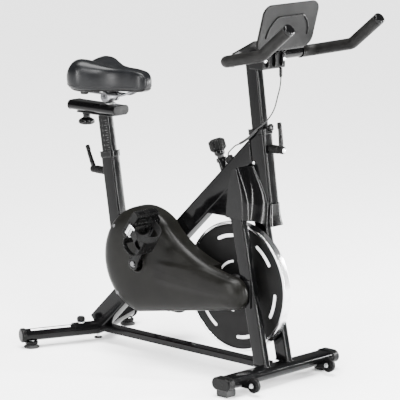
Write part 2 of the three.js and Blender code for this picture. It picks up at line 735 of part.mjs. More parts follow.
// ---------------------------------------------------------------- friction brake
// Everything here lies on the brake axis, which leans back from the top of the flywheel.
const SLEEVE = { low: 36, high: 186, outer: 12, inner: 8.6 };
const ROD_BORE = 8.4;
const knobHigh = BRAKE.knobLow + BRAKE.knobHeight;
const rodHigh = BRAKE.knobLow + 20;
add(
  "brake_sleeve",
  onAxis([
    [SLEEVE.inner, SLEEVE.low],
    [SLEEVE.outer, SLEEVE.low],
    [SLEEVE.outer, SLEEVE.high],
    [SLEEVE.inner, SLEEVE.high],
    [SLEEVE.inner, SLEEVE.low],
  ]),
  "steel",
);
const padX = onBrake(14).x;
const padTop = onBrake(14).z;
add(
  "brake_rod",
  union(onAxis([[0, 12], [8, 12], [8, rodHigh], [0, rodHigh]]), box(50, 24, 4, padX, 0, padTop + 2)),
  "zinc",
);
add(
  "brake_pad",
  cut(
    box(46, 22, padTop - GAP - 460, padX, 0, (padTop - GAP + 460) / 2),
    rod(FLYWHEEL.radius + BRAKE.padGap, 60, "y", AXLE.x, 0, AXLE.z, 96),
    onAxis([[0, 0], [ROD_BORE, 0], [ROD_BORE, 20], [0, 20]]),
  ),
  "foam",
);
add(
  "tension_knob",
  cut(
    onAxis([
      [0, BRAKE.knobLow],
      [BRAKE.knobRadius - 6, BRAKE.knobLow],
      [BRAKE.knobRadius, BRAKE.knobLow + 5],
      [BRAKE.knobRadius, knobHigh - 4],
      [BRAKE.knobRadius - 4, knobHigh],
      [0, knobHigh],
    ]),
    onAxis([[0, BRAKE.knobLow - 5], [ROD_BORE, BRAKE.knobLow - 5], [ROD_BORE, rodHigh + GAP], [0, rodHigh + GAP]]),
  ),
  "plastic",
);

// ---------------------------------------------------------------- post collars and clamp levers
// A collar caps the top of an outer tube and guides the post. It reaches drop below the tube's end and lip
// above it.
function collar(onTube, tube, post, drop, lip) {
  return cut(
    beam(onTube(tube.topZ - drop), onTube(tube.topZ + lip), tube.depth + 6, tube.width + 6),
    beam(onTube(tube.topZ - drop - 6), onTube(tube.topZ + GAP), tube.depth + 2 * GAP, tube.width + 2 * GAP),
    beam(onTube(tube.topZ - 40), onTube(tube.topZ + 40), post.depth + 2 * GAP, post.width + 2 * GAP, 0, 4),
  );
}
add("seat_collar", collar(seatAt, SEAT_TUBE, SEAT_POST, 12, 7), "plastic");
add("bar_collar", collar(headAt, HEAD_TUBE, BAR_POST, 8, 9), "plastic");

// A clamp lever: a stud in the tube wall, a hub along X and a rising arm. toward is +1 forward, -1 rearward.
const LEVER = { stud: 6, hub: 12, start: 4 };
const SEAT_LEVER = { z: 542, toward: -1, end: -452, tip: { x: -472, z: 612 } };
const BAR_LEVER = { z: 690, toward: 1, end: 342, tip: { x: 322, z: 768 } };
function clampLever(faceX, lever) {
  const hubFrom = faceX + lever.toward * LEVER.start;
  const studEnd = faceX - lever.toward * 1.5;
  const studMiddle = (hubFrom + studEnd) / 2 + lever.toward;
  const root = at(lever.end - lever.toward * 12, 0, lever.z);
  return union(
    rod(LEVER.hub, Math.abs(lever.end - hubFrom), "x", (hubFrom + lever.end) / 2, 0, lever.z, 16),
    rod(LEVER.stud, Math.abs(hubFrom - studEnd) + 2, "x", studMiddle, 0, lever.z, 12),
    beam(root, at(lever.tip.x, 0, lever.tip.z), 14, 15, 0, 5),
  );
}
const seatFaceX = seatAt(SEAT_LEVER.z).x - SEAT_TUBE.depth / 2;
const headFaceX = headAt(BAR_LEVER.z).x + HEAD_TUBE.depth / 2;
add("seat_lever", clampLever(seatFaceX, SEAT_LEVER), "plastic");
add("bar_lever", clampLever(headFaceX, BAR_LEVER), "plastic");

// ---------------------------------------------------------------- seat post, slider and saddle
const postBeam = (onTube, post) => {
  const high = onTube(post.topZ);
  const down = onTube(post.topZ - 1).sub(high).normalize();
  return beam(high, high.clone().addScaledVector(down, post.length), post.depth, post.width, post.wall, 4);
};
const sliderLow = SLIDER.z - SLIDER.height / 2;
const KNOB = { x: -474, low: 678, radius: 22, stud: 5 };
const HEAD_PLATE = { rear: -498, front: -352, half: 24, thickness: 6 };
add(
  "seat_post",
  cut(
    union(
      postBeam(seatAt, SEAT_POST),
      box(
        HEAD_PLATE.front - HEAD_PLATE.rear,
        2 * HEAD_PLATE.half,
        HEAD_PLATE.thickness,
        (HEAD_PLATE.front + HEAD_PLATE.rear) / 2,
        0,
        sliderLow - GAP - HEAD_PLATE.thickness / 2,
      ),
    ),
    rod(KNOB.stud + GAP, 40, "z", KNOB.x, 0, sliderLow, 12),
  ),
  "steel",
);

// The slider is an oval tube along X with a slot beneath it for the knob's stud and a stem on top that
// cradles the saddle clamp.
const STEM = { x: -369, radius: 10.5 };
const CLAMP = { z: 776, radius: 13, half: 29, railY: 22, rail: 3.5, railZ: 785 };
function ovalAlongX(width, height, wall, x0, x1, z) {
  const shape = roundedRect(width, height, height / 2);
  if (wall > 0) {
    shape.holes.push(roundedRect(width - 2 * wall, height - 2 * wall, height / 2 - wall, THREE.Path));
  }
  const geometry = new THREE.ExtrudeGeometry(shape, { depth: x1 - x0, bevelEnabled: false, curveSegments: 4 });
  geometry.applyMatrix4(new THREE.Matrix4().makeBasis(Y, Z, X));
  return solid(moved(geometry, x0, 0, z));
}
add(
  "seat_slider",
  cut(
    union(
      ovalAlongX(SLIDER.width, SLIDER.height, SLIDER.wall, SLIDER.rear, SLIDER.front, SLIDER.z),
      rod(STEM.radius, CLAMP.z - 754, "z", STEM.x, 0, (CLAMP.z - 4 + 750) / 2, 16),
    ),
    box(110, 12, 12, -460, 0, sliderLow),
    rod(CLAMP.radius + 0.5, 80, "y", STEM.x, 0, CLAMP.z),
  ),
  "steel",
);
add(
  "slider_knob",
  turned(
    [[0, 0], [17, 0], [22, 5], [22, 13], [11, 20], [11, 30], [5, 30], [5, 44.5], [0, 44.5]],
    Z,
    at(KNOB.x, 0, KNOB.low),
    16,
  ),
  "plastic",
);
add(
  "seat_clamp",
  union(
    rod(CLAMP.radius, 2 * CLAMP.half, "y", STEM.x, 0, CLAMP.z),
    rod(CLAMP.rail, 150, "x", STEM.x - 10, CLAMP.railY, CLAMP.railZ, 8),
    rod(CLAMP.rail, 150, "x", STEM.x - 10, -CLAMP.railY, CLAMP.railZ, 8),
  ),
  "zinc",
);

// Saddle stations from the rear to the nose: x, half width, top, underside and depth of the centre groove.
const SADDLE = [
  [-488, 62, 846, 818, 3],
  [-478, 80, 866, 802, 6],
  [-455, 92, 886, 797, 9],
  [-425, 92, 888, 796, 10],
  [-390, 76, 880, 797, 9],
  [-350, 53, 872, 801, 8],
  [-310, 38, 869, 804, 7],
  [-262, 30, 868, 807, 4],
  [-225, 25, 863, 809, 1],
  [-208, 17, 852, 816, 0],
  [-202, 8, 842, 825, 0],
];
const saddleRing = ([x, half, top, low, groove]) => {
  const side = [
    [0.32, top - groove * 0.4],
    [0.62, top],
    [0.9, top - (top - low) * 0.15],
    [1, top - (top - low) * 0.45],
    [0.96, low + (top - low) * 0.12],
    [0.8, low],
  ];
  const right = side.map(([k, z]) => at(x, -k * half, z));
  const left = side.map(([k, z]) => at(x, k * half, z)).reverse();
  return [at(x, 0, top - groove), ...right, ...left];
};
add("saddle", loft(SADDLE.map(saddleRing)), "leather");
const baseRing = ([x, half, , low]) => {
  const w = half * 0.74;
  return [at(x, w, low - GAP), at(x, -w, low - GAP), at(x, -w * 0.9, low - 6), at(x, w * 0.9, low - 6)];
};
add("saddle_base", loft(SADDLE.slice(1, -2).map(baseRing)), "plastic");

// ---------------------------------------------------------------- handlebar
add("handlebar_post", postBeam(headAt, BAR_POST), "steel");

// A bent pipe: straight runs through points, with each corner rounded by an arc of the given bend radius.
const PIPE_SIDES = 12;
function pipe(points, radius, bend) {
  const along = (a, b) => b.clone().sub(a).normalize();
  const last = points.length - 1;
  const stations = [{ p: points[0], d: along(points[0], points[1]) }];
  for (let i = 1; i < last; i++) {
    const into = along(points[i - 1], points[i]);
    const out = along(points[i], points[i + 1]);
    const angle = into.angleTo(out);
    const steps = Math.max(2, Math.ceil(angle / 0.35));
    const axis = new THREE.Vector3().crossVectors(into, out).normalize();
    const centre = points[i].clone().addScaledVector(along(into, out), bend / Math.cos(angle / 2));
    const arm = points[i].clone().addScaledVector(into, -bend * Math.tan(angle / 2)).sub(centre);
    for (let k = 0; k <= steps; k++) {
      const turn = (angle * k) / steps;
      stations.push({
        p: centre.clone().add(arm.clone().applyAxisAngle(axis, turn)),
        d: into.clone().applyAxisAngle(axis, turn),
      });
    }
  }
  stations.push({ p: points[last], d: along(points[last - 1], points[last]) });
  let side = new THREE.Vector3().crossVectors(stations[0].d, Z).normalize();
  return loft(
    stations.map(({ p, d }) => {
      side = side.clone().addScaledVector(d, -side.dot(d)).normalize();
      const up = new THREE.Vector3().crossVectors(d, side);
      return Array.from({ length: PIPE_SIDES }, (_, i) => {
        const a = (2 * Math.PI * i) / PIPE_SIDES;
        return p.clone().addScaledVector(side, radius * Math.cos(a)).addScaledVector(up, radius * Math.sin(a));
      });
    }),
  );
}
const BEND = 42;
const PIPE_BORE = (BAR.tube + GAP) / Math.cos(Math.PI / PIPE_SIDES);
const armPoints = (s) => [
  at(BAR_ROUTE.tipX, s * BAR.halfWidth, BAR_ROUTE.tipZ),
  at(BAR_ROUTE.bendX, s * BAR.halfWidth, BAR_ROUTE.bendZ),
  at(BAR.rearX, s * BAR.halfWidth, BAR.rearZ),
];
add("handlebar", pipe([...armPoints(-1), ...armPoints(1).reverse()], BAR.tube, BEND), "steel");
const gripEnd = 146; // the foam ends this far from the middle, on the cross bar
for (const { name, s } of SIDES) {
  const [tip, bend, corner] = armPoints(s);
  const out = tip.clone().sub(bend).normalize();
  const outer = [tip.clone().addScaledVector(out, 3.3), bend, corner, at(BAR.rearX, s * gripEnd, BAR.rearZ)];
  const inner = [tip.clone().addScaledVector(out, GAP), bend, corner, at(BAR.rearX, s * 120, BAR.rearZ)];
  add("grip_" + name, cut(pipe(outer, BAR.grip, BEND), pipe(inner, PIPE_BORE, BEND)), "foam");
}

const BAR_CLAMP = { half: 48, rear: 200, step: 247, front: 302, low: 922, high: 974 };
const barTop = headAt(BAR_POST.topZ);
add(
  "bar_clamp",
  cut(
    plate(
      outline([
        [BAR_CLAMP.rear, BAR_POST.topZ + 4.5],
        [BAR_CLAMP.step, BAR_POST.topZ + 4.5],
        [BAR_CLAMP.step, BAR_CLAMP.low],
        [BAR_CLAMP.front, BAR_CLAMP.low],
        [BAR_CLAMP.front, BAR_CLAMP.high],
        [262, BAR_CLAMP.high],
        [BAR_CLAMP.rear, 952],
      ]),
      -BAR_CLAMP.half,
      BAR_CLAMP.half,
    ),
    rod(PIPE_BORE, 200, "y", BAR.rearX, 0, BAR.rearZ, PIPE_SIDES),
    beam(barTop.clone().add(at(0, 0, 0.5)), headAt(880), BAR_POST.depth + 2 * GAP, BAR_POST.width + 2 * GAP, 0, 4),
  ),
  "gloss",
);

// Console: a thin wedge whose sloping face looks up at the rider, with a push button set into it.
const CONSOLE = { half: 100, rear: { x: 226, z: 968 }, front: { x: 312, z: 1012 } };
const consoleSlope = Math.atan2(CONSOLE.front.z - CONSOLE.rear.z, CONSOLE.front.x - CONSOLE.rear.x);
const faceNormal = at(-Math.sin(consoleSlope), 0, Math.cos(consoleSlope));
const buttonAt = at((CONSOLE.rear.x + CONSOLE.front.x) / 2, BUTTON.y, (CONSOLE.rear.z + CONSOLE.front.z) / 2);
const buttonRoom = [[0, -8], [BUTTON.radius + 0.5, -8], [BUTTON.radius + 0.5, 8], [0, 8]];
add(
  "console",
  cut(
    plate(
      outline([
        [CONSOLE.rear.x, CONSOLE.rear.z],
        [232, 965],
        [254, 977],
        [326.5, 977],
        [336, 1012],
        [CONSOLE.front.x, CONSOLE.front.z],
      ]),
      -CONSOLE.half,
      CONSOLE.half,
    ),
    turned(buttonRoom, faceNormal, buttonAt, 16),
  ),
  "plastic",
);
add(
  "console_button",
  turned(
    [[0, -5], [BUTTON.radius, -5], [BUTTON.radius, 1.5], [BUTTON.radius - 1, 2.5], [0, 2.5]],
    faceNormal,
    buttonAt,
    16,
  ),
  "rubber",
);

// Tablet holder: a leaning plate with rounded corners.
function tabletPlate() {
  const lean = rad(TABLET.lean);
  const up = at(Math.sin(lean), 0, Math.cos(lean));
  const out = new THREE.Vector3().crossVectors(Y, up);
  const geometry = new THREE.ExtrudeGeometry(roundedRect(TABLET.width, TABLET.height, 26), {
    depth: TABLET.thickness,
    bevelEnabled: false,
    curveSegments: 5,
  });
  geometry.translate(0, TABLET.height / 2, -TABLET.thickness / 2);
  geometry.applyMatrix4(new THREE.Matrix4().makeBasis(Y, up, out));
  return solid(moved(geometry, TABLET.x, 0, TABLET.z));
}
add("tablet_holder", tabletPlate(), "plastic");

// ---------------------------------------------------------------- speed sensor and its cable
const SENSOR = { x: 157, length: 24, width: 16, height: 20 };
const sensorUp = at(-Math.sin(spineAngle), 0, Math.cos(spineAngle));
const sensorFoot = spineAt(SENSOR.x).addScaledVector(sensorUp, SPINE.depth / 2);
add(
  "speed_sensor",
  beam(
    sensorFoot.clone().addScaledVector(sensorUp, 0.4),
    sensorFoot.clone().addScaledVector(sensorUp, SENSOR.height),
    SENSOR.length,
    SENSOR.width,
    0,
    4,
  ),
  "plastic",
);
const cableRoute = [
  [300, 30, 921.5], [300, 31, 900], [297, 31, 868], [291, 28, 840], [288, 18, 806], [284, 4, 783],
  [277, -14, 764], [261, -27, 746], [240, -28, 726], [214, -27, 708], [187, -20, 695], [160, -11, 684],
  [138, -5, 669], [127, -3, 659], [124, -1, 650],
].map(([x, y, z]) => at(x, y, z));
add("sensor_cable", swept(new THREE.CatmullRomCurve3(cableRoute), disc(2, 8), 40), "rubber");

export default group;
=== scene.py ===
"""Looks of an indoor cycle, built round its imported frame.

Lengths are in millimetres and in the frame's own axes: +X forward, +Y to the rider's left, +Z up. build()
turns the points to metres. The stage and the camera are in metres. Pieces ride on the frame's bodies, so they
follow its joints.
"""
import math

import bmesh
import bpy
import numpy as np
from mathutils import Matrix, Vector


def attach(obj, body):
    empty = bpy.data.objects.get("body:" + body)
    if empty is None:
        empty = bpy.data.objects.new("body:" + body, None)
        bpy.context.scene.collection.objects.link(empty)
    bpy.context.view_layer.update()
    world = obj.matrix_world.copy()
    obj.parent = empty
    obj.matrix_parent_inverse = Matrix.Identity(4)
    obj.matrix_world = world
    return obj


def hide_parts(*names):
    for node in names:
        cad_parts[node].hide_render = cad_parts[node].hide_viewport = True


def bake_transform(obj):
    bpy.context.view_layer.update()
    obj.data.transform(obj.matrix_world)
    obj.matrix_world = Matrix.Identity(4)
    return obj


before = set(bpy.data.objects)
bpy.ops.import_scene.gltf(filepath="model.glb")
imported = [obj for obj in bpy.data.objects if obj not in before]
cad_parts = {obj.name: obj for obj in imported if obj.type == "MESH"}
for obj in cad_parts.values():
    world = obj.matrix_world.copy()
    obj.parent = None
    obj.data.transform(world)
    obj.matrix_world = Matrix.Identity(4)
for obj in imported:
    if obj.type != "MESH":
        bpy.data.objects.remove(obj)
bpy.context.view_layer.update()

MM = 0.001
X = Vector((1, 0, 0))
Y = Vector((0, 1, 0))
Z = Vector((0, 0, 1))
SIDES = (("left", 1), ("right", -1))

# ---------------------------------------------------------------- driving dimensions, as in the frame
AXLE = Vector((166, 0, 266))
CRANK_AXIS = Vector((-155, 0, 303))
PEDAL_TURN = {"left": 180, "right": 125}
CRANK = {"length": 170, "lean": 31.5, "plane": 113}
SPINE_SLOPE = math.radians(43.4)
SEAT_SLOPE = 0.168
HEAD_SLOPE = 0.14
REAR_MIDDLE = Vector((-424, 0, 41))
REAR_END = Vector((-524, 242, 41))
FRONT_BASE = {"x": 318, "z": 40, "half": 232}
WHEEL = {"x": 377, "y": 164, "z": 33}
LEG_FOOT = Vector((304.5, 48.5, 57))
LEG_TOP = Vector((205.5, 48.5, 497))
BRAKE_FOOT = Vector((166, 0, 466))
BRAKE_LEAN = math.radians(22.5)
SLIDER_Z = 737
STEM_X = -369
CLAMP_AXIS = Vector((STEM_X, 0, 776))
SLIDER_KNOB = Vector((-474, 0, 678))
COVER_LOBE = (-155, 306)
COVER_NOSE = (206, 262)
BAR = {"half": 193, "tube": 14.5, "grip": 17, "bend": 42}
BAR_SIDE = (Vector((531, 0, 1071)), Vector((427, 0, 988.5)), Vector((272, 0, 956)))
TABLET = {"foot": Vector((334, 0, 984)), "lean": math.radians(15.5), "width": 236, "height": 138,
          "half_thick": 3.4}


def at(x, y, z):
    """A point or a direction from its three numbers."""
    return Vector((x, y, z))


def spine(x):
    """The point on the spine tube's centre line at x."""
    return at(x, 0, 315 + (x + 155) * math.tan(SPINE_SLOPE))


def seat(z):
    """The point on the seat tube's centre line at height z."""
    return at(-372 - (z - 600) * SEAT_SLOPE, 0, z)


def head(z):
    """The point on the head tube's centre line at height z."""
    return at(250 - (z - 735) * HEAD_SLOPE, 0, z)


SPINE_UP = at(-math.sin(SPINE_SLOPE), 0, math.cos(SPINE_SLOPE))
SEAT_UP = at(-SEAT_SLOPE, 0, 1).normalized()
SPINE_ALONG = at(math.cos(SPINE_SLOPE), 0, math.sin(SPINE_SLOPE))
HEAD_UP = at(-HEAD_SLOPE, 0, 1).normalized()
HEAD_FRONT = at(HEAD_UP.z, 0, -HEAD_UP.x)
BRAKE_UP = at(-math.sin(BRAKE_LEAN), 0, math.cos(BRAKE_LEAN))


# ---------------------------------------------------------------- materials
def nodes_of(name, color, roughness, metallic=0.0, coat=0.0, specular=0.5):
    """A new material with its Principled shader set, and the node tree to add detail to."""
    material = bpy.data.materials.new(name)
    material.use_nodes = True
    tree = material.node_tree
    shader = tree.nodes["Principled BSDF"]
    shader.inputs["Base Color"].default_value = (*color, 1)
    shader.inputs["Roughness"].default_value = roughness
    shader.inputs["Metallic"].default_value = metallic
    shader.inputs["Coat Weight"].default_value = coat
    shader.inputs["Coat Roughness"].default_value = 0.08
    shader.inputs["Specular IOR Level"].default_value = specular
    return material, tree, shader


def coordinates(tree, scale=(1, 1, 1)):
    """Object coordinates, in metres, stretched by scale."""
    source = tree.nodes.new("ShaderNodeTexCoord")
    mapping = tree.nodes.new("ShaderNodeMapping")
    mapping.inputs["Scale"].default_value = scale
    tree.links.new(source.outputs["Object"], mapping.inputs["Vector"])
    return mapping.outputs["Vector"]


def noise(tree, vector, scale, detail=3.0, rough=0.5):
    """A noise texture's factor at so many cells a metre."""
    node = tree.nodes.new("ShaderNodeTexNoise")
    node.inputs["Scale"].default_value = scale
    node.inputs["Detail"].default_value = detail
    node.inputs["Roughness"].default_value = rough
    tree.links.new(vector, node.inputs["Vector"])
    return node.outputs["Fac"]


def spread(tree, factor, low, high, socket, start=0.35, end=0.65):
    """Maps a texture's factor from start..end to low..high and feeds it to a socket."""
    node = tree.nodes.new("ShaderNodeMapRange")
    node.inputs["From Min"].default_value = start
    node.inputs["From Max"].default_value = end
    node.inputs["To Min"].default_value = low
    node.inputs["To Max"].default_value = high
    tree.links.new(factor, node.inputs["Value"])
    tree.links.new(node.outputs["Result"], socket)


def tint(tree, factor, dark, light, shader, start=0.35, end=0.65):
    """Colours the shader between two tones by a texture's factor."""
    node = tree.nodes.new("ShaderNodeValToRGB")
    node.color_ramp.elements[0].position = start
    node.color_ramp.elements[1].position = end
    node.color_ramp.elements[0].color = (*dark, 1)
    node.color_ramp.elements[1].color = (*light, 1)
    tree.links.new(factor, node.inputs["Fac"])
    tree.links.new(node.outputs["Color"], shader.inputs["Base Color"])


def bump(tree, factor, shader, strength, depth_mm, under=None):
    """Adds relief of a depth in millimetres. under is the bump that this one lies on."""
    node = tree.nodes.new("ShaderNodeBump")
    node.inputs["Strength"].default_value = strength
    node.inputs["Distance"].default_value = depth_mm * MM
    tree.links.new(factor, node.inputs["Height"])
    if under is not None:
        tree.links.new(under, node.inputs["Normal"])
    tree.links.new(node.outputs["Normal"], shader.inputs["Normal"])
    return node.outputs["Normal"]


def cells(tree, vector, scale):
    """A Voronoi texture's distance at so many cells a metre."""
    node = tree.nodes.new("ShaderNodeTexVoronoi")
    node.inputs["Scale"].default_value = scale
    tree.links.new(vector, node.inputs["Vector"])
    return node.outputs["Distance"]


def waves(tree, vector, scale, direction="X", distortion=0.0):
    """A wave texture's factor, with its bands across one axis."""
    node = tree.nodes.new("ShaderNodeTexWave")
    node.bands_direction = direction
    node.inputs["Scale"].default_value = scale
    node.inputs["Distortion"].default_value = distortion
    tree.links.new(vector, node.inputs["Vector"])
    return node.outputs["Fac"]


def finish(name, color, roughness, gloss=None, tones=None, relief=(), **shine):
    """A material whose gloss and colour wander with textures, under layers of relief from the finest up.

    A texture is one of the functions above with its settings. gloss is (texture, low, high), tones is
    (texture, dark, light) with an optional start and end. A relief is (texture, strength, depth in mm).
    """
    material, tree, shader = nodes_of(name, color, roughness, **shine)
    where = coordinates(tree)

    def factor(texture):
        make, *settings = texture
        return make(tree, where, *settings)

    if gloss:
        spread(tree, factor(gloss[0]), *gloss[1:], shader.inputs["Roughness"])
    if tones:
        tint(tree, factor(tones[0]), *tones[1:3], shader, *tones[3:])
    under = None
    for texture, strength, depth in relief:
        under = bump(tree, factor(texture), shader, strength, depth, under)
    return material


def grey(value):
    """A neutral colour."""
    return (value, value, value)


def powder_coat():
    """Satin black powder coat: an orange-peel skin with faint changes in gloss."""
    return finish("powder_coat", (0.0014, 0.0014, 0.0015), 0.14, specular=0.1,
                  gloss=((noise, 24, 4), 0.11, 0.16),
                  tones=((noise, 9, 2), (0.001, 0.001, 0.0011), (0.002, 0.002, 0.0021)),
                  relief=[((noise, 1400, 2), 0.14, 0.04)])


def moulded_plastic(name, dark, light, roughness, grain, depth):
    """Moulded plastic with a sparked texture of a given grain, in cells a metre, and depth."""
    return finish(name, light, roughness, specular=0.065,
                  gloss=((noise, 30, 3), roughness - 0.05, roughness + 0.06),
                  tones=((noise, 14, 3), dark, light),
                  relief=[((noise, grain, 2), 0.35, depth), ((noise, 18, 1), 0.12, 0.5)])


def gloss_plastic():
    """Gloss black moulding with a trace of flow waviness."""
    return finish("gloss_plastic", (0.0014, 0.0014, 0.0015), 0.12, specular=0.12,
                  gloss=((noise, 40, 4), 0.11, 0.2), relief=[((noise, 16, 1), 0.10, 0.5)])


def rubber():
    """Matte black rubber with a slight bloom."""
    return finish("rubber", grey(0.006), 0.75, specular=0.35,
                  tones=((noise, 60, 5), grey(0.006), grey(0.0132), 0.4, 0.8),
                  relief=[((noise, 900, 3), 0.3, 0.08)])


def foam():
    """Closed-cell foam sleeve: fine pores and a dull sheen."""
    return finish("foam", (0.0028, 0.0027, 0.0026), 0.36, specular=0.06,
                  gloss=((noise, 50, 3), 0.4, 0.54),
                  tones=((noise, 35, 4), (0.003, 0.0029, 0.0028), (0.0055, 0.0054, 0.0052)),
                  relief=[((cells, 1100), 0.3, 0.12), ((noise, 45, 2), 0.15, 0.4)])


def leather():
    """Synthetic leather: small pebbles and slow changes of gloss where it is rubbed."""
    return finish("saddle_skin", (0.0018, 0.0019, 0.0022), 0.3, specular=0.14,
                  gloss=((noise, 28, 4), 0.29, 0.36),
                  tones=((noise, 22, 3), (0.002, 0.0021, 0.0024), (0.0036, 0.0038, 0.0043)),
                  relief=[((cells, 620), 0.28, 0.14), ((noise, 30, 2), 0.12, 0.8)])


def metal(name, color, roughness, stretch=(1, 1, 1), lines=400, strength=0.12):
    """Bare or plated metal with fine tool lines drawn out along the axis whose stretch is small."""
    material, tree, shader = nodes_of(name, color, roughness, metallic=1.0)
    where = coordinates(tree, stretch)
    marks = noise(tree, where, lines, 3)
    spread(tree, marks, roughness * 0.75, roughness * 1.35, shader.inputs["Roughness"])
    bump(tree, marks, shader, strength, 0.03)
    dull = tuple(c * 0.8 for c in color)
    tint(tree, noise(tree, coordinates(tree), 35, 4), dull, color, shader, 0.3, 0.55)
    return material


def flywheel_paint():
    """Black enamel over cast iron, with the casting's grain under it."""
    return finish("flywheel_paint", grey(0.0018), 0.36, specular=0.07,
                  gloss=((noise, 30, 4), 0.36, 0.5),
                  tones=((noise, 12, 3), grey(0.0018), grey(0.0034)),
                  relief=[((noise, 260, 5, 0.7), 0.25, 0.15), ((noise, 20, 2), 0.1, 0.6)])


def webbing():
    """Woven nylon strap: crossed ribs at thread scale."""
    weave = (waves, 420, "X", 1.5)
    return finish("webbing", grey(0.006), 0.8, specular=0.1,
                  tones=(weave, grey(0.003), grey(0.011), 0.2, 0.9),
                  relief=[(weave, 0.6, 0.25), ((waves, 420, "Z"), 0.5, 0.2)])


def decal_and_painted_highlight():
    """Silver-white film: the flywheel's printed marks, and a painted highlight on the near rear tube."""
    return finish("decal_and_painted_highlight", (0.62, 0.62, 0.63), 0.35, coat=0.2,
                  gloss=((noise, 80, 4), 0.28, 0.45),
                  tones=((noise, 50, 3), (0.55, 0.55, 0.56), grey(0.72)))


def felt():
    """Dense grey felt of the brake pad."""
    return finish("felt", grey(0.05), 0.95, specular=0.2,
                  tones=((noise, 500, 6, 0.7), grey(0.03), (0.09, 0.09, 0.088)),
                  relief=[((noise, 700, 5, 0.7), 0.7, 0.4)])


def screen():
    """Dark display window."""
    return finish("screen", (0.02, 0.024, 0.022), 0.08, coat=0.5,
                  gloss=((noise, 60, 3), 0.05, 0.14),
                  tones=((noise, 30, 2), (0.016, 0.02, 0.018), (0.026, 0.03, 0.028)))


LOOK = {
    "paint": powder_coat(),
    "cover": moulded_plastic("cover_plastic", (0.0024, 0.0023, 0.002), (0.0036, 0.0035, 0.003), 0.34, 1600,
                             0.04),
    "plastic": moulded_plastic("black_plastic", grey(0.0024), grey(0.004), 0.28, 1100, 0.05),
    "coarse": moulded_plastic("coarse_plastic", grey(0.002), grey(0.0048), 0.25, 420, 0.1),
    "matte": moulded_plastic("matte_plastic", grey(0.0014), grey(0.0024), 0.5, 1100, 0.03),
    "print": moulded_plastic("print", grey(0.05), grey(0.09), 0.4, 900, 0.03),
    "gloss": gloss_plastic(),
    "rubber": rubber(),
    "foam": foam(),
    "leather": leather(),
    "chrome": metal("chrome_rim", (0.8, 0.8, 0.81), 0.16, (60, 1, 60), 30, 0.1),
    "zinc": metal("zinc", (0.55, 0.56, 0.57), 0.3),
    "steel_dark": metal("dark_steel", (0.12, 0.12, 0.125), 0.35),
    "flywheel": flywheel_paint(),
    "webbing": webbing(),
    "decal_and_painted_highlight": decal_and_painted_highlight(),
    "felt": felt(),
    "screen": screen(),
}


# The record's material for each look, where a piece doesn't name another.
SLOT = {
    "paint": "frame_paint",
    "print": "frame_paint",
    "cover": "cover_plastic",
    "plastic": "cover_plastic",
    "coarse": "cover_plastic",
    "matte": "cover_plastic",
    "gloss": "gloss_plastic",
    "screen": "gloss_plastic",
    "rubber": "rubber",
    "webbing": "rubber",
    "foam": "foam",
    "leather": "saddle_skin",
    "chrome": "flywheel_iron",
    "flywheel": "flywheel_iron",
    "decal_and_painted_highlight": "flywheel_iron",
    "zinc": "zinc",
    "steel_dark": "zinc",
    "felt": "felt",
}


# ---------------------------------------------------------------- mesh builders
def build(name, points, faces, smooth=35):
    """A closed mesh object from points in millimetres, with faces turned outward and sharp edges marked."""
    mesh = bpy.data.meshes.new(name)
    mesh.from_pydata([tuple(p * MM) for p in points], [], faces)
    work = bmesh.new()
    work.from_mesh(mesh)
    bmesh.ops.recalc_face_normals(work, faces=work.faces)
    work.to_mesh(mesh)
    work.free()
    mesh.shade_smooth()
    mesh.set_sharp_from_angle(angle=math.radians(smooth))
    obj = bpy.data.objects.new(name, mesh)
    bpy.context.scene.collection.objects.link(obj)
    return obj


def bevelled(obj, width, segments=3, angle=35):
    """Rounds the object's hard edges."""
    modifier = obj.modifiers.new("edge", "BEVEL")
    modifier.width = width * MM
    modifier.segments = segments
    modifier.limit_method = "ANGLE"
    modifier.angle_limit = math.radians(angle)
    modifier.harden_normals = True
    return obj


def fit(obj, body, look, *nodes, slot=None):
    """Gives a piece its material and body and hides the frame nodes that it stands for. The record slot is
    looked up but not stored.
    """
    obj.data.materials.clear()
    obj.data.materials.append(LOOK[look])
    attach(obj, body)
    slot = slot or SLOT[look]
    if nodes:
        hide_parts(*nodes)
    return obj


def softened(points, radius, closed=False, steps=4):
    """A polyline with each corner replaced by a short curve. Points are tuples of two numbers."""
    points = [Vector(p) for p in points]
    count = len(points)
    made = []
    for i, corner in enumerate(points):
        if not closed and i in (0, count - 1):
            made.append(corner)
            continue
        before = points[i - 1] - corner
        after = points[(i + 1) % count] - corner
        reach = min(radius, before.length * 0.49, after.length * 0.49)
        start = corner + before.normalized() * reach
        end = corner + after.normalized() * reach
        for k in range(steps + 1):
            t = k / steps
            made.append(start * (1 - t) ** 2 + corner * (2 * t * (1 - t)) + end * t ** 2)
    return [tuple(p) for p in made]


def rounded(width, height, corner, steps=6):
    """The points of a rounded rectangle: the first number runs along width and the second along height."""
    corner = min(corner, width / 2 - 0.01, height / 2 - 0.01)
    made = []
    for side, up, start in ((1, -1, -90), (1, 1, 0), (-1, 1, 90), (-1, -1, 180)):
        for i in range(steps + 1):
            a = math.radians(start + 90 * i / steps)
            made.append((
                side * (width / 2 - corner) + corner * math.cos(a),
                up * (height / 2 - corner) + corner * math.sin(a),
            ))
    return made


def placed(section, origin, u, v):
    """A section's points in space."""
    return [origin + u * a + v * b for a, b in section]


def skin(name, rings, closed=False, smooth=35):
    """A skin through rings of equal point count, capped at both ends unless it closes on itself."""
    count = len(rings[0])
    faces = []
    for k in range(len(rings) if closed else len(rings) - 1):
        a = k * count
        b = (k + 1) % len(rings) * count
        for i in range(count):
            j = (i + 1) % count
            faces.append((a + i, a + j, b + j, b + i))
    if not closed:
        last = (len(rings) - 1) * count
        faces.append(tuple(range(count)))
        faces.append(tuple(range(last, last + count)))
    return build(name, [p for ring in rings for p in ring], faces, smooth)


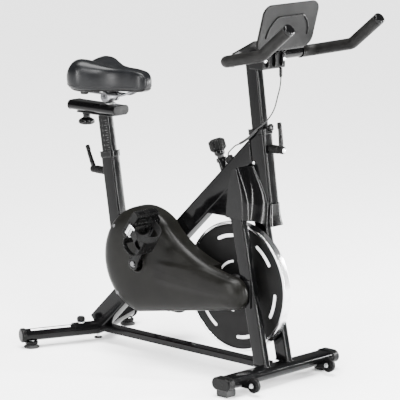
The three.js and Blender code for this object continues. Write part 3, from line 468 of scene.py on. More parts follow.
def straight(name, p, q, depth, width, corner, wall=0.0, v=Y, p_plane=None, q_plane=None, edge=0.8):
    """A bar, or a tube if wall is given, from p to q. width lies along v. An end may be mitred to a plane."""
    along = (q - p).normalized()
    u = v.cross(along).normalized()

    def ring(end, inset, shift, plane):
        section = rounded(depth - 2 * inset, width - 2 * inset, max(corner - inset, 0.6))
        points = placed(section, end + along * shift, u, v)
        if plane is None:
            return points
        return [x + along * ((end - x).dot(plane) / along.dot(plane) + shift) for x in points]

    rings = [
        ring(p, edge, 0, p_plane),
        ring(p, 0, edge, p_plane),
        ring(q, 0, -edge, q_plane),
        ring(q, edge, 0, q_plane),
    ]
    if wall:
        rings += [ring(q, wall, 0, q_plane), ring(p, wall, 0, p_plane)]
    return skin(name, rings, closed=bool(wall))


def perpendicular(axis):
    """A unit vector across axis."""
    other = Z if abs(axis.z) < 0.9 else X
    return axis.cross(other).normalized()


def lathe(name, profile, origin, axis=Z, segments=72, soft=0.0, flutes=0, flute=0.0):
    """A turned piece. profile is (radius, height) pairs; it starts and ends on the axis or closes on itself.
    soft rounds the profile's corners. flutes and flute cut that many shallow hollows round it."""
    closed = profile[0] == profile[-1]
    if soft:
        profile = softened(profile[:-1] if closed else profile, soft, closed)
    elif closed:
        profile = profile[:-1]
    u = perpendicular(axis)
    v = axis.cross(u)
    points, index = [], []
    for r, h in profile:
        if r < 1e-6:
            index.append([len(points)])
            points.append(origin + axis * h)
            continue
        index.append(list(range(len(points), len(points) + segments)))
        for i in range(segments):
            a = 2 * math.pi * i / segments
            reach = r - flute * max(0.0, math.cos(flutes * a)) ** 2 if flutes else r
            points.append(origin + axis * h + u * (reach * math.cos(a)) + v * (reach * math.sin(a)))
    faces = []
    pairs = list(zip(index, index[1:])) + ([(index[-1], index[0])] if closed else [])
    for a, b in pairs:
        for i in range(segments):
            j = (i + 1) % segments
            corners = [a[i % len(a)], a[j % len(a)], b[j % len(b)], b[i % len(b)]]
            face = list(dict.fromkeys(corners))
            if len(face) > 2:
                faces.append(tuple(face))
    return build(name, points, faces)


def plate(name, outline, y0, y1, edge=0.8, segments=3):
    """A side outline in X and Z, extruded along Y, with rounded edges."""
    count = len(outline)
    points = [at(x, y0, z) for x, z in outline] + [at(x, y1, z) for x, z in outline]
    faces = [tuple(range(count)), tuple(range(count, 2 * count))]
    faces += [(i, (i + 1) % count, (i + 1) % count + count, i + count) for i in range(count)]
    obj = build(name, points, faces)
    return bevelled(obj, edge, segments) if edge else obj


def block(name, centre, size, edge=1.0, axes=(X, Y, Z), segments=3):
    """A box with rounded edges, laid along three axes."""
    half = [axis * (s / 2) for axis, s in zip(axes, size)]
    signs = [(a, b, c) for a in (-1, 1) for b in (-1, 1) for c in (-1, 1)]
    points = [centre + half[0] * a + half[1] * b + half[2] * c for a, b, c in signs]
    faces = [(0, 1, 3, 2), (4, 6, 7, 5), (0, 4, 5, 1), (2, 3, 7, 6), (0, 2, 6, 4), (1, 5, 7, 3)]
    return bevelled(build(name, points, faces), edge, segments)


def stations(points, bend, step=0.12):
    """Points and directions along straight runs whose corners are arcs of radius bend."""
    made = [(points[0], (points[1] - points[0]).normalized())]
    for i in range(1, len(points) - 1):
        into = (points[i] - points[i - 1]).normalized()
        out = (points[i + 1] - points[i]).normalized()
        angle = into.angle(out)
        axis = into.cross(out).normalized()
        centre = points[i] + (out - into).normalized() * (bend / math.cos(angle / 2))
        arm = points[i] - into * (bend * math.tan(angle / 2)) - centre
        count = max(2, math.ceil(angle / step))
        for k in range(count + 1):
            turn = angle * k / count
            made.append((centre + rotated(arm, axis, turn), rotated(into, axis, turn)))
    made.append((points[-1], (points[-1] - points[-2]).normalized()))
    return made


def rotated(v, axis, angle):
    """v turned about a unit axis."""
    return v * math.cos(angle) + axis.cross(v) * math.sin(angle) + axis * axis.dot(v) * (1 - math.cos(angle))


def drum(radius, low, high):
    """The profile of a plain cylinder."""
    return [(0, low), (radius, low), (radius, high), (0, high)]


def band(inner, outer, low, high):
    """The profile of a plain ring."""
    return [(inner, low), (outer, low), (outer, high), (inner, high), (inner, low)]


def pipe(name, path, radius, sides=32, dome=0.0):
    """A round bar along (point, direction) stations. dome rounds both ends over that length."""
    u = perpendicular(path[0][1])
    stops = [(p, d, 1.0) for p, d in path]
    if dome:
        (first, start), (last, end) = path[0], path[-1]
        quarter = [math.pi / 2 * k / 5 for k in range(5)]
        swell = [(first + start * (dome * (1 - math.cos(a))), start, math.sin(a)) for a in quarter]
        taper = [(last - end * (dome * (1 - math.cos(a))), end, math.sin(a)) for a in reversed(quarter)]
        stops = [*swell, (first + start * dome, start, 1.0), *stops[1:-1], (last - end * dome, end, 1.0),
                 *taper]
    turns = [2 * math.pi * i / sides for i in range(sides)]
    rings = []
    for p, d, share in stops:
        u = (u - d * u.dot(d)).normalized()
        v = d.cross(u)
        reach = radius * max(share, 0.02)
        rings.append([p + u * (reach * math.cos(a)) + v * (reach * math.sin(a)) for a in turns])
    return skin(name, rings)


def smooth_path(points, per_span=6):
    """Stations along a Catmull-Rom curve through points."""
    padded_points = [points[0] * 2 - points[1], *points, points[-1] * 2 - points[-2]]
    made = []
    for i in range(1, len(padded_points) - 2):
        a, b, c, d = padded_points[i - 1:i + 3]
        for k in range(per_span):
            t = k / per_span
            made.append(0.5 * (2 * b + (c - a) * t + (2 * a - 5 * b + 4 * c - d) * t ** 2
                               + (3 * b - a - 3 * c + d) * t ** 3))
    made.append(points[-1])
    last = len(made) - 1
    directions = [(made[min(i + 1, last)] - made[max(i - 1, 0)]).normalized() for i in range(last + 1)]
    return list(zip(made, directions))


def joined(name, objects):
    """One object from several, modifiers applied."""
    depsgraph = bpy.context.evaluated_depsgraph_get()
    work = bmesh.new()
    for obj in objects:
        made = bpy.data.meshes.new_from_object(obj.evaluated_get(depsgraph))
        work.from_mesh(made)
        bpy.data.meshes.remove(made)
    mesh = bpy.data.meshes.new(name)
    work.to_mesh(mesh)
    work.free()
    for obj in objects:
        bpy.data.objects.remove(obj)
    obj = bpy.data.objects.new(name, mesh)
    bpy.context.scene.collection.objects.link(obj)
    return obj


def hex_bolt(name, origin, axis, across=13.0, height=6.0, washer=9.5, shank=0.0):
    """A hexagon head on a washer, with a domed stud if shank is given."""
    parts = [lathe("w", drum(washer, -1, 1.4), origin, axis, 32, 0.4)]
    r = across / 2 / math.cos(math.pi / 6)
    parts.append(bevelled(lathe("h", drum(r, 1, 1 + height), origin, axis, 6), 0.7, 2))
    if shank:
        top = 1 + height + shank
        parts.append(lathe("s", drum(across * 0.3, height, top), origin, axis, 24, 1.6))
    return joined(name, parts)


def carved(obj, *others, operation="DIFFERENCE"):
    """obj with the others' volumes taken out of it, or with only their shared volume left."""
    for other in others:
        modifier = obj.modifiers.new("cut", "BOOLEAN")
        modifier.operation = operation
        modifier.solver = "EXACT"
        modifier.object = other
    name = obj.name
    obj.name = name + "_raw"
    made = joined(name, [obj])
    for other in others:
        bpy.data.objects.remove(other)
    made.data.set_sharp_from_angle(angle=math.radians(32))
    return made


def curve_to(p, middle, q, steps):
    """Points of a quadratic curve in a plane, from p, which is left out, to q."""
    return [tuple((1 - t) ** 2 * p[k] + 2 * t * (1 - t) * middle[k] + t ** 2 * q[k] for k in (0, 1))
            for t in (i / steps for i in range(1, steps + 1))]


def catmull(values, t):
    """Catmull-Rom value of a list of tuples at parameter t, counted in list steps."""
    i = min(int(t), len(values) - 2)
    f = t - i
    a, b, c, d = (np.array(values[min(max(k, 0), len(values) - 1)], float) for k in (i - 1, i, i + 1, i + 2))
    return 0.5 * (2 * b + (c - a) * f + (2 * a - 5 * b + 4 * c - d) * f ** 2
                  + (3 * b - a - 3 * c + d) * f ** 3)


def onto(line, target, origin, normal, guess):
    """The parameter at which a straight line of points lies target beyond origin along normal."""
    f0 = (line(guess) - origin).dot(normal)
    f1 = (line(guess + 1) - origin).dot(normal)
    return guess + (target - f0) / (f1 - f0)


def arc(cx, cz, radius, start, end, steps):
    """Points of an arc in X and Z, in degrees from +X towards +Z."""
    turns = [math.radians(start + (end - start) * k / steps) for k in range(steps + 1)]
    return [(cx + radius * math.cos(a), cz + radius * math.sin(a)) for a in turns]


def bead(name, ring, radius=2.6):
    """A weld bead along a closed ring of points, with a slight ripple."""
    count = len(ring)
    turns = [2 * math.pi * i / 8 for i in range(8)]
    rings = []
    u = perpendicular((ring[1] - ring[-1]).normalized())
    for k, p in enumerate(ring):
        d = (ring[(k + 1) % count] - ring[k - 1]).normalized()
        u = (u - d * u.dot(d)).normalized()
        v = d.cross(u)
        reach = radius * (1 + 0.1 * math.sin(k * 2.4))
        rings.append([p + (u * math.cos(a) + v * math.sin(a)) * reach for a in turns])
    return skin(name, rings, closed=True, smooth=60)


def weld(name, foot, u, along, plane, size, steps, radius):
    """A bead where a bar of the given depth, width and corner meets a plane through foot."""
    ring = [foot + u * a + Y * b for a, b in rounded(*size, steps)]
    ring = [p + along * ((foot - p).dot(plane) / along.dot(plane)) for p in ring]
    fit(bead(name, ring, radius), "frame", "paint")


# ---------------------------------------------------------------- main frame
def make_spine():
    """The sloping tube, with the crank's shell and its two bearing cups."""
    end = onto(spine, 29, head(600), -HEAD_FRONT, 225)
    tube = straight("spine", spine(-424), spine(end), 60, 40, 6, q_plane=HEAD_FRONT)
    shell = lathe("crank_shell", drum(22, -38, 38), CRANK_AXIS, Y, 64, 1.2)
    bore = lathe("bore", drum(11, -60, 60), CRANK_AXIS, Y, 48)
    shell = carved(shell, bore)
    fit(tube, "frame", "paint", "spine_tube")
    fit(shell, "frame", "paint")
    for side, s in SIDES:
        cup = lathe(
            "bearing_cup_" + side,
            [(10.4, 37.6), (20, 37.6), (20, 41), (17, 42), (10.4, 42), (10.4, 37.6)],
            CRANK_AXIS, Y * s, 48, 0.6,
        )
        fit(cup, "frame", "zinc")


def make_cradle():
    """The curved saddle at the spine's foot, with its two bolts on the rear base."""
    rings = []
    for p, d in rear_line(0.34):
        side = Z.cross(d).normalized()
        turns = [math.pi * k / 16 for k in range(17)]
        outer = [p + side * (23.6 * math.cos(a)) + Z * (23.6 * math.sin(a)) for a in turns]
        inner = [p + side * (19.2 * math.cos(a)) + Z * (19.2 * math.sin(a)) for a in reversed(turns)]
        rings.append(outer + inner)
    fit(bevelled(skin("cradle", rings), 0.8, 2), "frame", "paint")
    for side, s in SIDES:
        axis = (at(REAR_END.x, s * REAR_END.y, REAR_END.z) - REAR_MIDDLE).normalized()
        foot = REAR_MIDDLE + axis * 62 + Z * 23
        washer = lathe("base_washer_" + side, drum(12, -1, 2), foot, Z, 40, 0.6)
        fit(washer, "frame", "zinc")
        profile = [(0, 2), (10, 2), (13, 6), (13, 14), (9, 19), (0, 20)]
        fit(lathe("base_knob_" + side, profile, foot, Z, 72, 1.5, 8, 1.3), "frame", "plastic",
            slot="gloss_plastic")


def rear_line(reach=1.0):
    """Stations along the swept rear tube, over that share of its length."""
    ends = [REAR_MIDDLE + (at(REAR_END.x, s * REAR_END.y, REAR_END.z) - REAR_MIDDLE) * reach for s in (-1, 1)]
    return stations([ends[0], REAR_MIDDLE, ends[1]], 40, 0.08)


def make_rear_base():
    """The swept rear tube with its caps, the two levelling feet, a pale band painted on as a highlight, and
    the centre foot.
    """
    base = pipe("rear_base", rear_line(0.985), 19, 48)
    fit(base, "frame", "paint", "rear_stabiliser")
    for side, s in SIDES:
        end = at(REAR_END.x, s * REAR_END.y, REAR_END.z)
        axis = (end - REAR_MIDDLE).normalized()
        cap = lathe(
            "rear_cap_skin_" + side,
            [(0, -14), (22.3, -14), (22.5, -12), (22.5, -3), (19, 0), (10, 0.3), (0, 0.4)],
            end, axis, 72, 2.0,
        )
        fit(cap, "frame", "plastic", "rear_cap_" + side)
        foot = at(-510, s * 209, 0)
        pad = lathe("rear_foot_pad_" + side, [(0, 0), (23, 0), (24, 2), (24, 5), (17, 10), (0, 10)], foot, Z,
                    72, 1.2)
        fit(pad, "rear_foot_" + side, "rubber", "rear_foot_" + side)
        profile = [(0, 9.6), (16, 9.6), (20, 13), (20, 20), (17, 21.5), (0, 21.5)]
        wheel = lathe("rear_foot_wheel_" + side, profile, foot, Z, 144, 0.8, 12, 1.8)
        fit(wheel, "rear_foot_" + side, "plastic", slot="rubber")
        stud = lathe("rear_foot_stud_" + side, drum(6, 21, 38), foot, Z, 32)
        fit(stud, "rear_foot_" + side, "zinc")
        lock = lathe("rear_foot_nut_" + side, drum(9, 21.4, 24), foot, Z, 6, 0.4)
        fit(lock, "rear_foot_" + side, "zinc")
        if s < 0:
            # A pale band on the upper, outward side of the near tube: a painted highlight where the lamps
            # shine on it.
            patch = arc_patch("painted_highlight_stripe", end - axis * 96, axis, 19.05, 130)
            fit(patch, "frame", "decal_and_painted_highlight", slot="zinc")
    foot = at(-430, 0, 7)
    pad = lathe("centre_foot_pad", [(0, 0), (12, 0), (13, 1), (13, 4), (6, 6.5), (0, 6.5)], foot, Z, 64, 0.6)
    fit(pad, "centre_foot", "rubber", "centre_foot")
    fit(lathe("centre_foot_stud", drum(5, 6, 30), foot, Z, 32), "centre_foot", "zinc")


def arc_patch(name, centre, axis, radius, length):
    """A thin pale band on the upper outer quarter of a round tube, used as a painted highlight."""
    side = Z.cross(axis).normalized()
    rings = []
    for h in (-length / 2, length / 2):
        turns = [math.radians(52 + 22 * k / 8) for k in range(9)]
        outer = [centre + axis * h + (side * math.cos(a) + Z * math.sin(a)) * (radius + 0.12) for a in turns]
        inner = [centre + axis * h + (side * math.cos(a) + Z * math.sin(a)) * (radius - 0.1)
                 for a in reversed(turns)]
        rings.append(outer + inner)
    return skin(name, rings)


def make_seat_and_head_tubes():
    """The two tubes that hold the posts, and the welds where seat tube, spine and head tube meet."""
    low = onto(seat, 28, spine(0), SPINE_UP, 200)
    tube = straight("seat_tube_skin", seat(low), seat(600), 50, 34, 6, 2.5, p_plane=SPINE_UP)
    fit(tube, "frame", "paint", "seat_tube")
    tube = straight("head_tube_skin", head(530), head(735), 58, 40, 7, 2.5)
    fit(tube, "frame", "paint", "head_tube")
    foot = seat(onto(seat, 30.5, spine(0), SPINE_UP, 200))
    weld("seat_weld", foot, Y.cross(SEAT_UP), SEAT_UP, SPINE_UP, (50, 34, 6), 8, 2.8)
    joint = spine(onto(spine, 30, head(600), -HEAD_FRONT, 225))
    weld("head_weld", joint, SPINE_UP, SPINE_ALONG, HEAD_FRONT, (60, 40, 6), 8, 2.8)


def make_crown_and_legs():
    """The crown with its gusset, and the two fork legs with their axle plates and welds."""
    outline = [(50, 472), (262, 472), (262, 528), (251, 530), (246, 565), (228, 618), (212, 622)]
    fit(plate("gusset", outline, -19, 19, 1.5), "frame", "paint", "fork_crown")
    crown = block("crown", at(212.5, 0, 523), (47, 122, 50), 3)
    fit(crown, "frame", "paint")
    lean = (LEG_FOOT.x - LEG_TOP.x) / (LEG_TOP.z - LEG_FOOT.z)
    leg_x = LEG_TOP.x + (LEG_TOP.z - AXLE.z) * lean + 14
    tab = [(leg_x, 224), (leg_x, 308), (166, 292)] + arc(166, 266, 26, 90, 270, 28)[1:]
    for side, s in SIDES:
        foot = at(LEG_FOOT.x, s * LEG_FOOT.y, 55)
        top = at(LEG_TOP.x, s * LEG_TOP.y, 499)
        leg = straight("leg_" + side, foot, top, 46, 25, 5, p_plane=Z, q_plane=Z)
        fit(leg, "frame", "paint", "fork_leg_" + side)
        y0, y1 = sorted((s * 60.6, s * 66))
        fit(plate("dropout_" + side, tab, y0, y1, 1), "frame", "paint")
        along = (top - foot).normalized()
        weld("leg_weld_" + side, foot + Z * 2, Y.cross(along), along, Z, (46, 25, 5), 6, 2.6)


def make_bottom_bar():
    """The flat bar between the two bases."""
    bar = straight("bottom_bar_skin", at(-404, 0, 47), at(286, 0, 47), 20, 40, 3)
    fit(bar, "frame", "paint", "bottom_bar")


def make_front_base():
    """The oval front tube with its caps and feet, and a transport wheel in its fork at each end."""
    x, z, half = FRONT_BASE["x"], FRONT_BASE["z"], FRONT_BASE["half"]
    base = straight("front_base", at(x, -half, z), at(x, half, z), 32, 65, 16, v=X)
    fit(base, "frame", "paint", "front_stabiliser")
    for side, s in SIDES:
        cap = straight("front_cap_skin_" + side, at(x, s * 214, z), at(x, s * 242.5, z), 38, 71, 19, v=X,
                       edge=3)
        fit(bevelled(cap, 1.2, 3, 20), "frame", "plastic", "front_cap_" + side)
        seam = straight("front_cap_rib_" + side, at(x, s * 217, z), at(x, s * 219.5, z), 38.8, 71.8, 19.4,
                        v=X)
        fit(seam, "frame", "plastic")
        foot = block("front_foot_body_" + side, at(314, s * 213, 12.5), (42, 39, 17.5), 2.5)
        fit(foot, "frame", "rubber", "front_foot_" + side)
        for k in range(5):
            rib = block(f"front_foot_rib_{side}_{k}", at(297 + 8.5 * k, s * 213, 3), (5.5, 36, 6), 1.2)
            fit(rib, "frame", "rubber")
        make_wheel(side, s)


def make_wheel(side, s):
    """A transport wheel on its pin, between two cheeks."""
    centre = at(WHEEL["x"], s * WHEEL["y"], WHEEL["z"])
    outline = [(332, 22)] + arc(centre.x, centre.z, 10, -90, 90, 20) + [(334, 46)]
    for k, offset in enumerate((-9, 9)):
        y = centre.y + offset
        fit(plate(f"wheel_cheek_{side}_{k}", outline, y - 1.5, y + 1.5, 0.7), "frame", "paint")
    pin = lathe("wheel_pin_" + side, drum(3.9, -13, 13), centre, Y, 24)
    fit(pin, "frame", "zinc")
    for k, end in enumerate((-1, 1)):
        bolt = hex_bolt(f"wheel_bolt_{side}_{k}", centre + Y * (end * 10.6), Y * end, 10, 4, 7)
        fit(bolt, "frame", "zinc")
    tyre = [(4.3, -5), (14, -5), (15, -6), (20.5, -6), (22.5, -4.4), (22.5, 4.4), (20.5, 6), (15, 6), (14, 5),
            (4.3, 5), (4.3, -5)]
    name = "transport_wheel_" + side
    fit(lathe("wheel_" + side, tyre, centre, Y, 96, 0.8), name, "plastic", name, slot="rubber")


# ---------------------------------------------------------------- fork cover
def between(table, z):
    """Reads a table of (z, values...) rows at height z."""
    for low, high in zip(table, table[1:]):
        if z <= high[0]:
            t = max(0.0, (z - low[0]) / (high[0] - low[0]))
            return [a + (b - a) * t for a, b in zip(low[1:], high[1:])]
    return list(table[-1][1:])


# Height, end of the flat side, x and y where the side reaches the nose, x of the nose's front.
HOOD_LEVELS = [(455, 232, 302, 36, 321), (466, 232, 301, 34, 318), (480, 232, 300, 30.5, 314.5),
               (500, 232, 298, 27, 311.8), (531, 231, 296, 23.5, 310.5), (532, 231, 296, 23, 306),
               (560, 229, 284, 21.6, 296), (592, 223, 264, 21.3, 278), (612, 217, 250, 21.3, 264),
               (634, 210, 236, 21.3, 250), (650, 206, 228, 21.3, 240)]


def hood_section(z):
    """The fork cover's outline at height z: flat side, rounded shoulder, hollow sweep and nose."""
    edge, x, y, front = between(HOOD_LEVELS, z)
    reach = x - edge
    shoulder = (edge + reach * 0.36, 65 - min(16, reach * 0.4))
    half = [(150, 65), (edge, 65)] + curve_to((edge, 65), (edge + reach * 0.26, 65), shoulder, 12)
    half += curve_to(shoulder, (edge + reach * 0.5, y + 3), (x, y), 20)
    half += curve_to((x, y), (front, y), (front, y * 0.5), 8) + [(front, 0)]
    return [at(a, b, z) for a, b in half] + [at(a, -b, z) for a, b in reversed(half[:-1])]


def make_hood():
    """The gloss moulding over the crown: a lobe over each leg, swept in to a nose that flares downward."""
    side = [(173, 482), (240, 481), (290, 474), (318, 466), (330, 463), (330, 640), (222, 634)]
    side += curve_to((222, 634), (192, 632), (182, 566), 20) + [(177, 525)]
    blade = plate("hood_side", side, -80, 80, 0)
    levels = [455 + 5 * k for k in range(40)]
    levels = sorted([z for z in levels if z not in (530, 535)] + [531, 532.5])
    hood = skin("hood_skin", [hood_section(z) for z in levels], smooth=30)
    hood = carved(hood, blade, operation="INTERSECT")
    slot = straight("slot", head(529.6), head(760), 58.6, 40.6, 7)
    hollow = block("hollow", at(208, 0, 545), (90, 41, 240), 0)
    hood = bevelled(carved(hood, slot, hollow), 2.2, 5, 28)
    fit(hood, "frame", "gloss", "fork_cover")
    for name, s in SIDES:
        bolt = lathe("hood_bolt_" + name, [(0, -3), (4.6, -3), (4.6, 1.2), (3.4, 2.2), (0, 2.4)],
                     at(243, s * 21, 645), Y * s, 40, 0.5)
        fit(bolt, "frame", "zinc")


# ---------------------------------------------------------------- belt drive and cover
def cover_ring(y, radius, nose, nose_x, steps=140):
    """The cover's outline at one depth: a lobe round the crank and a nose at the flywheel's axle."""
    cx, cz = COVER_LOBE
    nose_z = COVER_NOSE[1]
    lobe_steps, nose_steps, top_steps = int(steps * 0.55), int(steps * 0.25), int(steps * 0.2)
    points = arc(cx, cz, radius, 52, 262, lobe_steps)
    tip = arc(nose_x, nose_z, nose, -80, 84, nose_steps)
    (ax, az), (bx, bz) = points[-1], tip[0]
    points += [(ax + (bx - ax) * k / top_steps, az + (bz - az) * k / top_steps) for k in range(1, top_steps)]
    points += tip
    middle = (cx + radius * 1.06, nose_z + nose * 1.4 + 10)
    points += curve_to(points[-1], middle, points[0], top_steps)[:-1]
    return [at(x, y, z) for x, z in points]


# Depth, radius of the lobe, radius of the nose, x of the nose.
COVER_LEVELS = [(-32, 165, 50, 216), (-50, 164.6, 49.8, 216), (-70, 163.2, 49.2, 216), (-81, 158.5, 47, 215),
                (-89, 149, 43, 210), (-94.5, 136, 39, 202), (-98, 116, 34, 194), (-100, 88, 29, 186),
                (-101, 50, 20, 178), (-101.4, 32, 8, 172)]


def ease(t):
    """A smooth step from 0 to 1."""
    t = min(max(t, 0.0), 1.0)
    return t * t * (3 - 2 * t)


def banded(p):
    """Raises the shallow band that runs from the lobe to the nose."""
    rise = ease((p.x + 95) / 80) * (ease((324 - p.z) / 8) - 0.8 * ease((268 - p.z) / 26))
    return p - Y * (3.6 * rise * ease((-84 - p.y) / 8))


def make_cover():
    """The cover over the belt, its back, the collar round the crank and three screws."""
    def window(radius, depth):
        hole = lathe("hole", drum(radius, -130, depth), CRANK_AXIS, Y, 96)
        return hole, block("room", at(246, -26.5, 266), (240, 80, 300), 0)

    rings = []
    for k in range(41):
        y, radius, nose, nose_x = catmull(COVER_LEVELS, k * (len(COVER_LEVELS) - 1) / 40 * 0.9999)
        rings.append([banded(p) for p in cover_ring(y, radius, nose, nose_x)])
    cover = carved(skin("cover", rings, smooth=60), *window(25, -20))
    fit(bevelled(cover, 1.2, 3, 40), "frame", "cover", "belt_cover")
    back = skin("cover_back", [cover_ring(-31, 160, 45, 216), cover_ring(-33.2, 160, 45, 216)])
    fit(carved(back, *window(22.6, 20)), "frame", "cover", "belt_backplate")
    ring = [(24.5, -97), (31, -97), (31, -101.6), (28, -103), (24.5, -103), (24.5, -97)]
    fit(lathe("cover_collar", ring, CRANK_AXIS, Y, 96, 1.2), "frame", "cover")
    head_of_screw = [(0, -1), (5.5, -1), (5.5, 1.2), (4, 2), (2.2, 2), (2.2, 0.4), (0, 0.4)]
    for k, place in enumerate(((-262, -91.5, 400), (-250, -91.5, 196), (60, -90, 216))):
        screw = lathe(f"cover_screw_{k}", head_of_screw, at(*place), -Y, 36, 0.3)
        fit(screw, "frame", "steel_dark")


def make_nose_cap():
    """The separate rounded cap at the cover's nose, over the flywheel's axle, with its screw."""
    axis = at(COVER_NOSE[0], 0, COVER_NOSE[1])
    rings = []
    for y, r in ((-67, 49.9), (-72, 50.2), (-80, 49.4), (-88, 46), (-94, 40), (-98, 31), (-100, 20)):
        rings.append([at(x, y, z) for x, z in arc(*COVER_NOSE, r, 0, 354, 59)])
    cap = skin("nose_cap", rings, smooth=60)
    hole = lathe("hole", drum(6.5, -110, -94), axis, Y, 48)
    fit(carved(cap, hole), "frame", "cover")
    screw = lathe("nose_screw", drum(5, -96, -94), axis, Y, 32, 0.5)
    fit(screw, "frame", "zinc")


def make_drive():
    """The two pulleys and the belt round them."""
    flange = [(10.3, -58), (18.3, -58), (19.3, -54), (98, -54), (100, -58), (110, -58), (110, -46),
              (100, -46), (98, -50), (19.3, -50), (18.3, -46), (10.3, -46), (10.3, -58)]
    big = lathe("pulley_big", flange, CRANK_AXIS, Y, 96, 0.6)
    fit(big, "crankset", "plastic", "drive_pulley")
    sleeve = [(8.3, -58), (28, -58), (28, -46), (18, -46), (18, -22.4), (8.3, -22.4), (8.3, -58)]
    small = lathe("pulley_small", sleeve, AXLE, Y, 96, 0.6)
    fit(small, "flywheel", "zinc", "flywheel_pulley")
    dx, dz = AXLE.x - CRANK_AXIS.x, AXLE.z - CRANK_AXIS.z
    base, open_by = math.degrees(math.atan2(dz, dx)), math.degrees(math.acos(82 / math.hypot(dx, dz)))
    rings = []
    for y, extra in ((-57.5, 0), (-57.5, 3), (-46.5, 3), (-46.5, 0)):
        loop = arc(CRANK_AXIS.x, CRANK_AXIS.z, 110.3 + extra, base + open_by, base - open_by + 360, 60)
        loop += arc(AXLE.x, AXLE.z, 28.3 + extra, base - open_by, base + open_by, 30)
        rings.append([at(x, y, z) for x, z in loop])
    fit(skin("belt", rings, closed=True), "frame", "rubber", "drive_belt")


def make_flywheel():
    """The enamelled web, the bright rim, the pale marks and the hub's seals."""
    half = [(8.3, -22), (28, -22), (30, -21), (33, -17), (37, -10.6), (58, -10), (150, -10), (176, -10),
            (187, -9.4)]
    web = half + [(r, -y) for r, y in reversed(half)] + [half[0]]
    fit(lathe("flywheel_web", web, AXLE, Y, 160, 1.0), "flywheel", "flywheel", "flywheel")
    rim = [(185.5, -9), (185.8, -12.2), (187, -13), (193, -13), (194, -12), (194, 12), (193, 13), (187, 13),
           (185.8, 12.2), (185.5, 9), (185.5, -9)]
    fit(lathe("flywheel_rim", rim, AXLE, Y, 240, 0.35), "flywheel", "chrome")
    for side, s in SIDES:
        for k in range(6):
            mark = arc_band(f"mark_{side}_{k}", 152, 10, 60 * k + 45, 25, s * 10.02, s * 10.35)
            fit(mark, "flywheel", "decal_and_painted_highlight")
        for k in range(3):
            mark = arc_band(f"inner_mark_{side}_{k}", 75, 7, 120 * k + 121, 40, s * 10.02, s * 10.35)
            fit(mark, "flywheel", "decal_and_painted_highlight")
        ring = [(8.6, s * 21), (16, s * 21), (17, s * 24.5), (8.6, s * 25.5), (8.6, s * 21)]
        fit(lathe("hub_seal_" + side, ring, AXLE, Y, 64, 0.5), "flywheel", "steel_dark", slot="flywheel_iron")


def arc_band(name, radius, width, middle, angle, y0, y1):
    """A round-ended band on a disc: a thin solid between two depths."""
    half = angle / 2
    outer = arc(0, 0, radius + width / 2, middle - half, middle + half, 24)
    inner = arc(0, 0, radius - width / 2, middle + half, middle - half, 24)
    ends = []
    for turn, swing in ((middle + half, 1), (middle - half, -1)):
        a = math.radians(turn)
        cx, cz = radius * math.cos(a), radius * math.sin(a)
        start = turn if swing > 0 else turn + 180
        ends.append(arc(cx, cz, width / 2, start, start + 180, 10)[1:-1])
    outline = outer + ends[0] + inner + ends[1]
    rings = [[at(AXLE.x + x, y, AXLE.z + z) for x, z in outline] for y in (y0, y1)]
    return skin(name, rings)


def make_axle():
    """The flywheel's axle, with a washer and a nut outside each leg."""
    parts = [lathe("rod", [(0, -89), (7, -89), (8, -88), (8, 88), (7, 89), (0, 89)], AXLE, Y, 48, 0.4)]
    for _, s in SIDES:
        parts.append(lathe("washer", [(8, 66.3), (17, 66.3), (17, 68.6), (8, 68.6)], AXLE, Y * s, 48))
        parts.append(bevelled(lathe("nut", [(7.5, 68.6), (14.4, 68.6), (14.4, 79), (7.5, 79)], AXLE, Y * s,
                                    6), 1, 3))
    fit(joined("axle", parts), "frame", "zinc", "flywheel_axle")


# ---------------------------------------------------------------- cranks and pedals
def crank_end(s):
    """The pedal's axis in the middle plane. The right crank stands up and the left one down."""
    lean, reach = math.radians(CRANK["lean"]), s * CRANK["length"]
    return at(CRANK_AXIS.x - reach * math.sin(lean), 0, CRANK_AXIS.z - reach * math.cos(lean))


def make_cranks():
    """The crank axle, the two arms, their bolts and the pedals' spindles."""
    axle = lathe("crank_axle_rod",
                 [(0, -105.5), (9.4, -105.5), (10, -104.8), (10, 104.8), (9.4, 105.5), (0, 105.5)],
                 CRANK_AXIS, Y, 48)
    fit(axle, "crankset", "zinc", "crank_axle")
    for side, s in SIDES:
        end = crank_end(s)
        along = (end - CRANK_AXIS).normalized()
        across = Y.cross(along)
        plane = s * CRANK["plane"]
        shape = [(-2, 25, 14), (18, 27, 14), (40, 26, 13.4), (90, 24, 12.8), (140, 23, 12.8), (160, 24, 13.6),
                 (171, 22, 14)]
        rings = []
        for k in range(31):
            h, wide, thick = catmull(shape, k * (len(shape) - 1) / 30 * 0.9999)
            centre = CRANK_AXIS + along * h + Y * plane
            rings.append(placed(rounded(wide, thick, 4.6, 5), centre, across, Y))
        root = lathe("root", [(0, -7), (18, -7), (19, -6), (19, 6), (17.5, 7), (12, 7), (12, 4.6), (0, 4.6)],
                     CRANK_AXIS + Y * plane, Y * s, 72, 0.5)
        tip = lathe("tip", [(0, -7), (13.2, -7), (14, -6), (14, 6), (13.2, 7), (0, 7)], end + Y * plane,
                    Y * s, 64, 0.5)
        arm = joined("crank_arm_" + side, [skin("arm", rings, smooth=40), root, tip])
        fit(arm, "crankset", "paint", "crank_" + side)
        bolt = hex_bolt("crank_bolt_" + side, CRANK_AXIS + Y * (plane + s * 4.6), Y * s, 15, 5.4, 11)
        fit(bolt, "crankset", "steel_dark")
        spindle = lathe("spindle_" + side, [(0, 5), (9, 5), (9, 10), (6, 11), (6, 101), (0, 101)],
                        end + Y * plane, Y * s, 40, 0.5)
        fit(spindle, "crankset", "zinc")


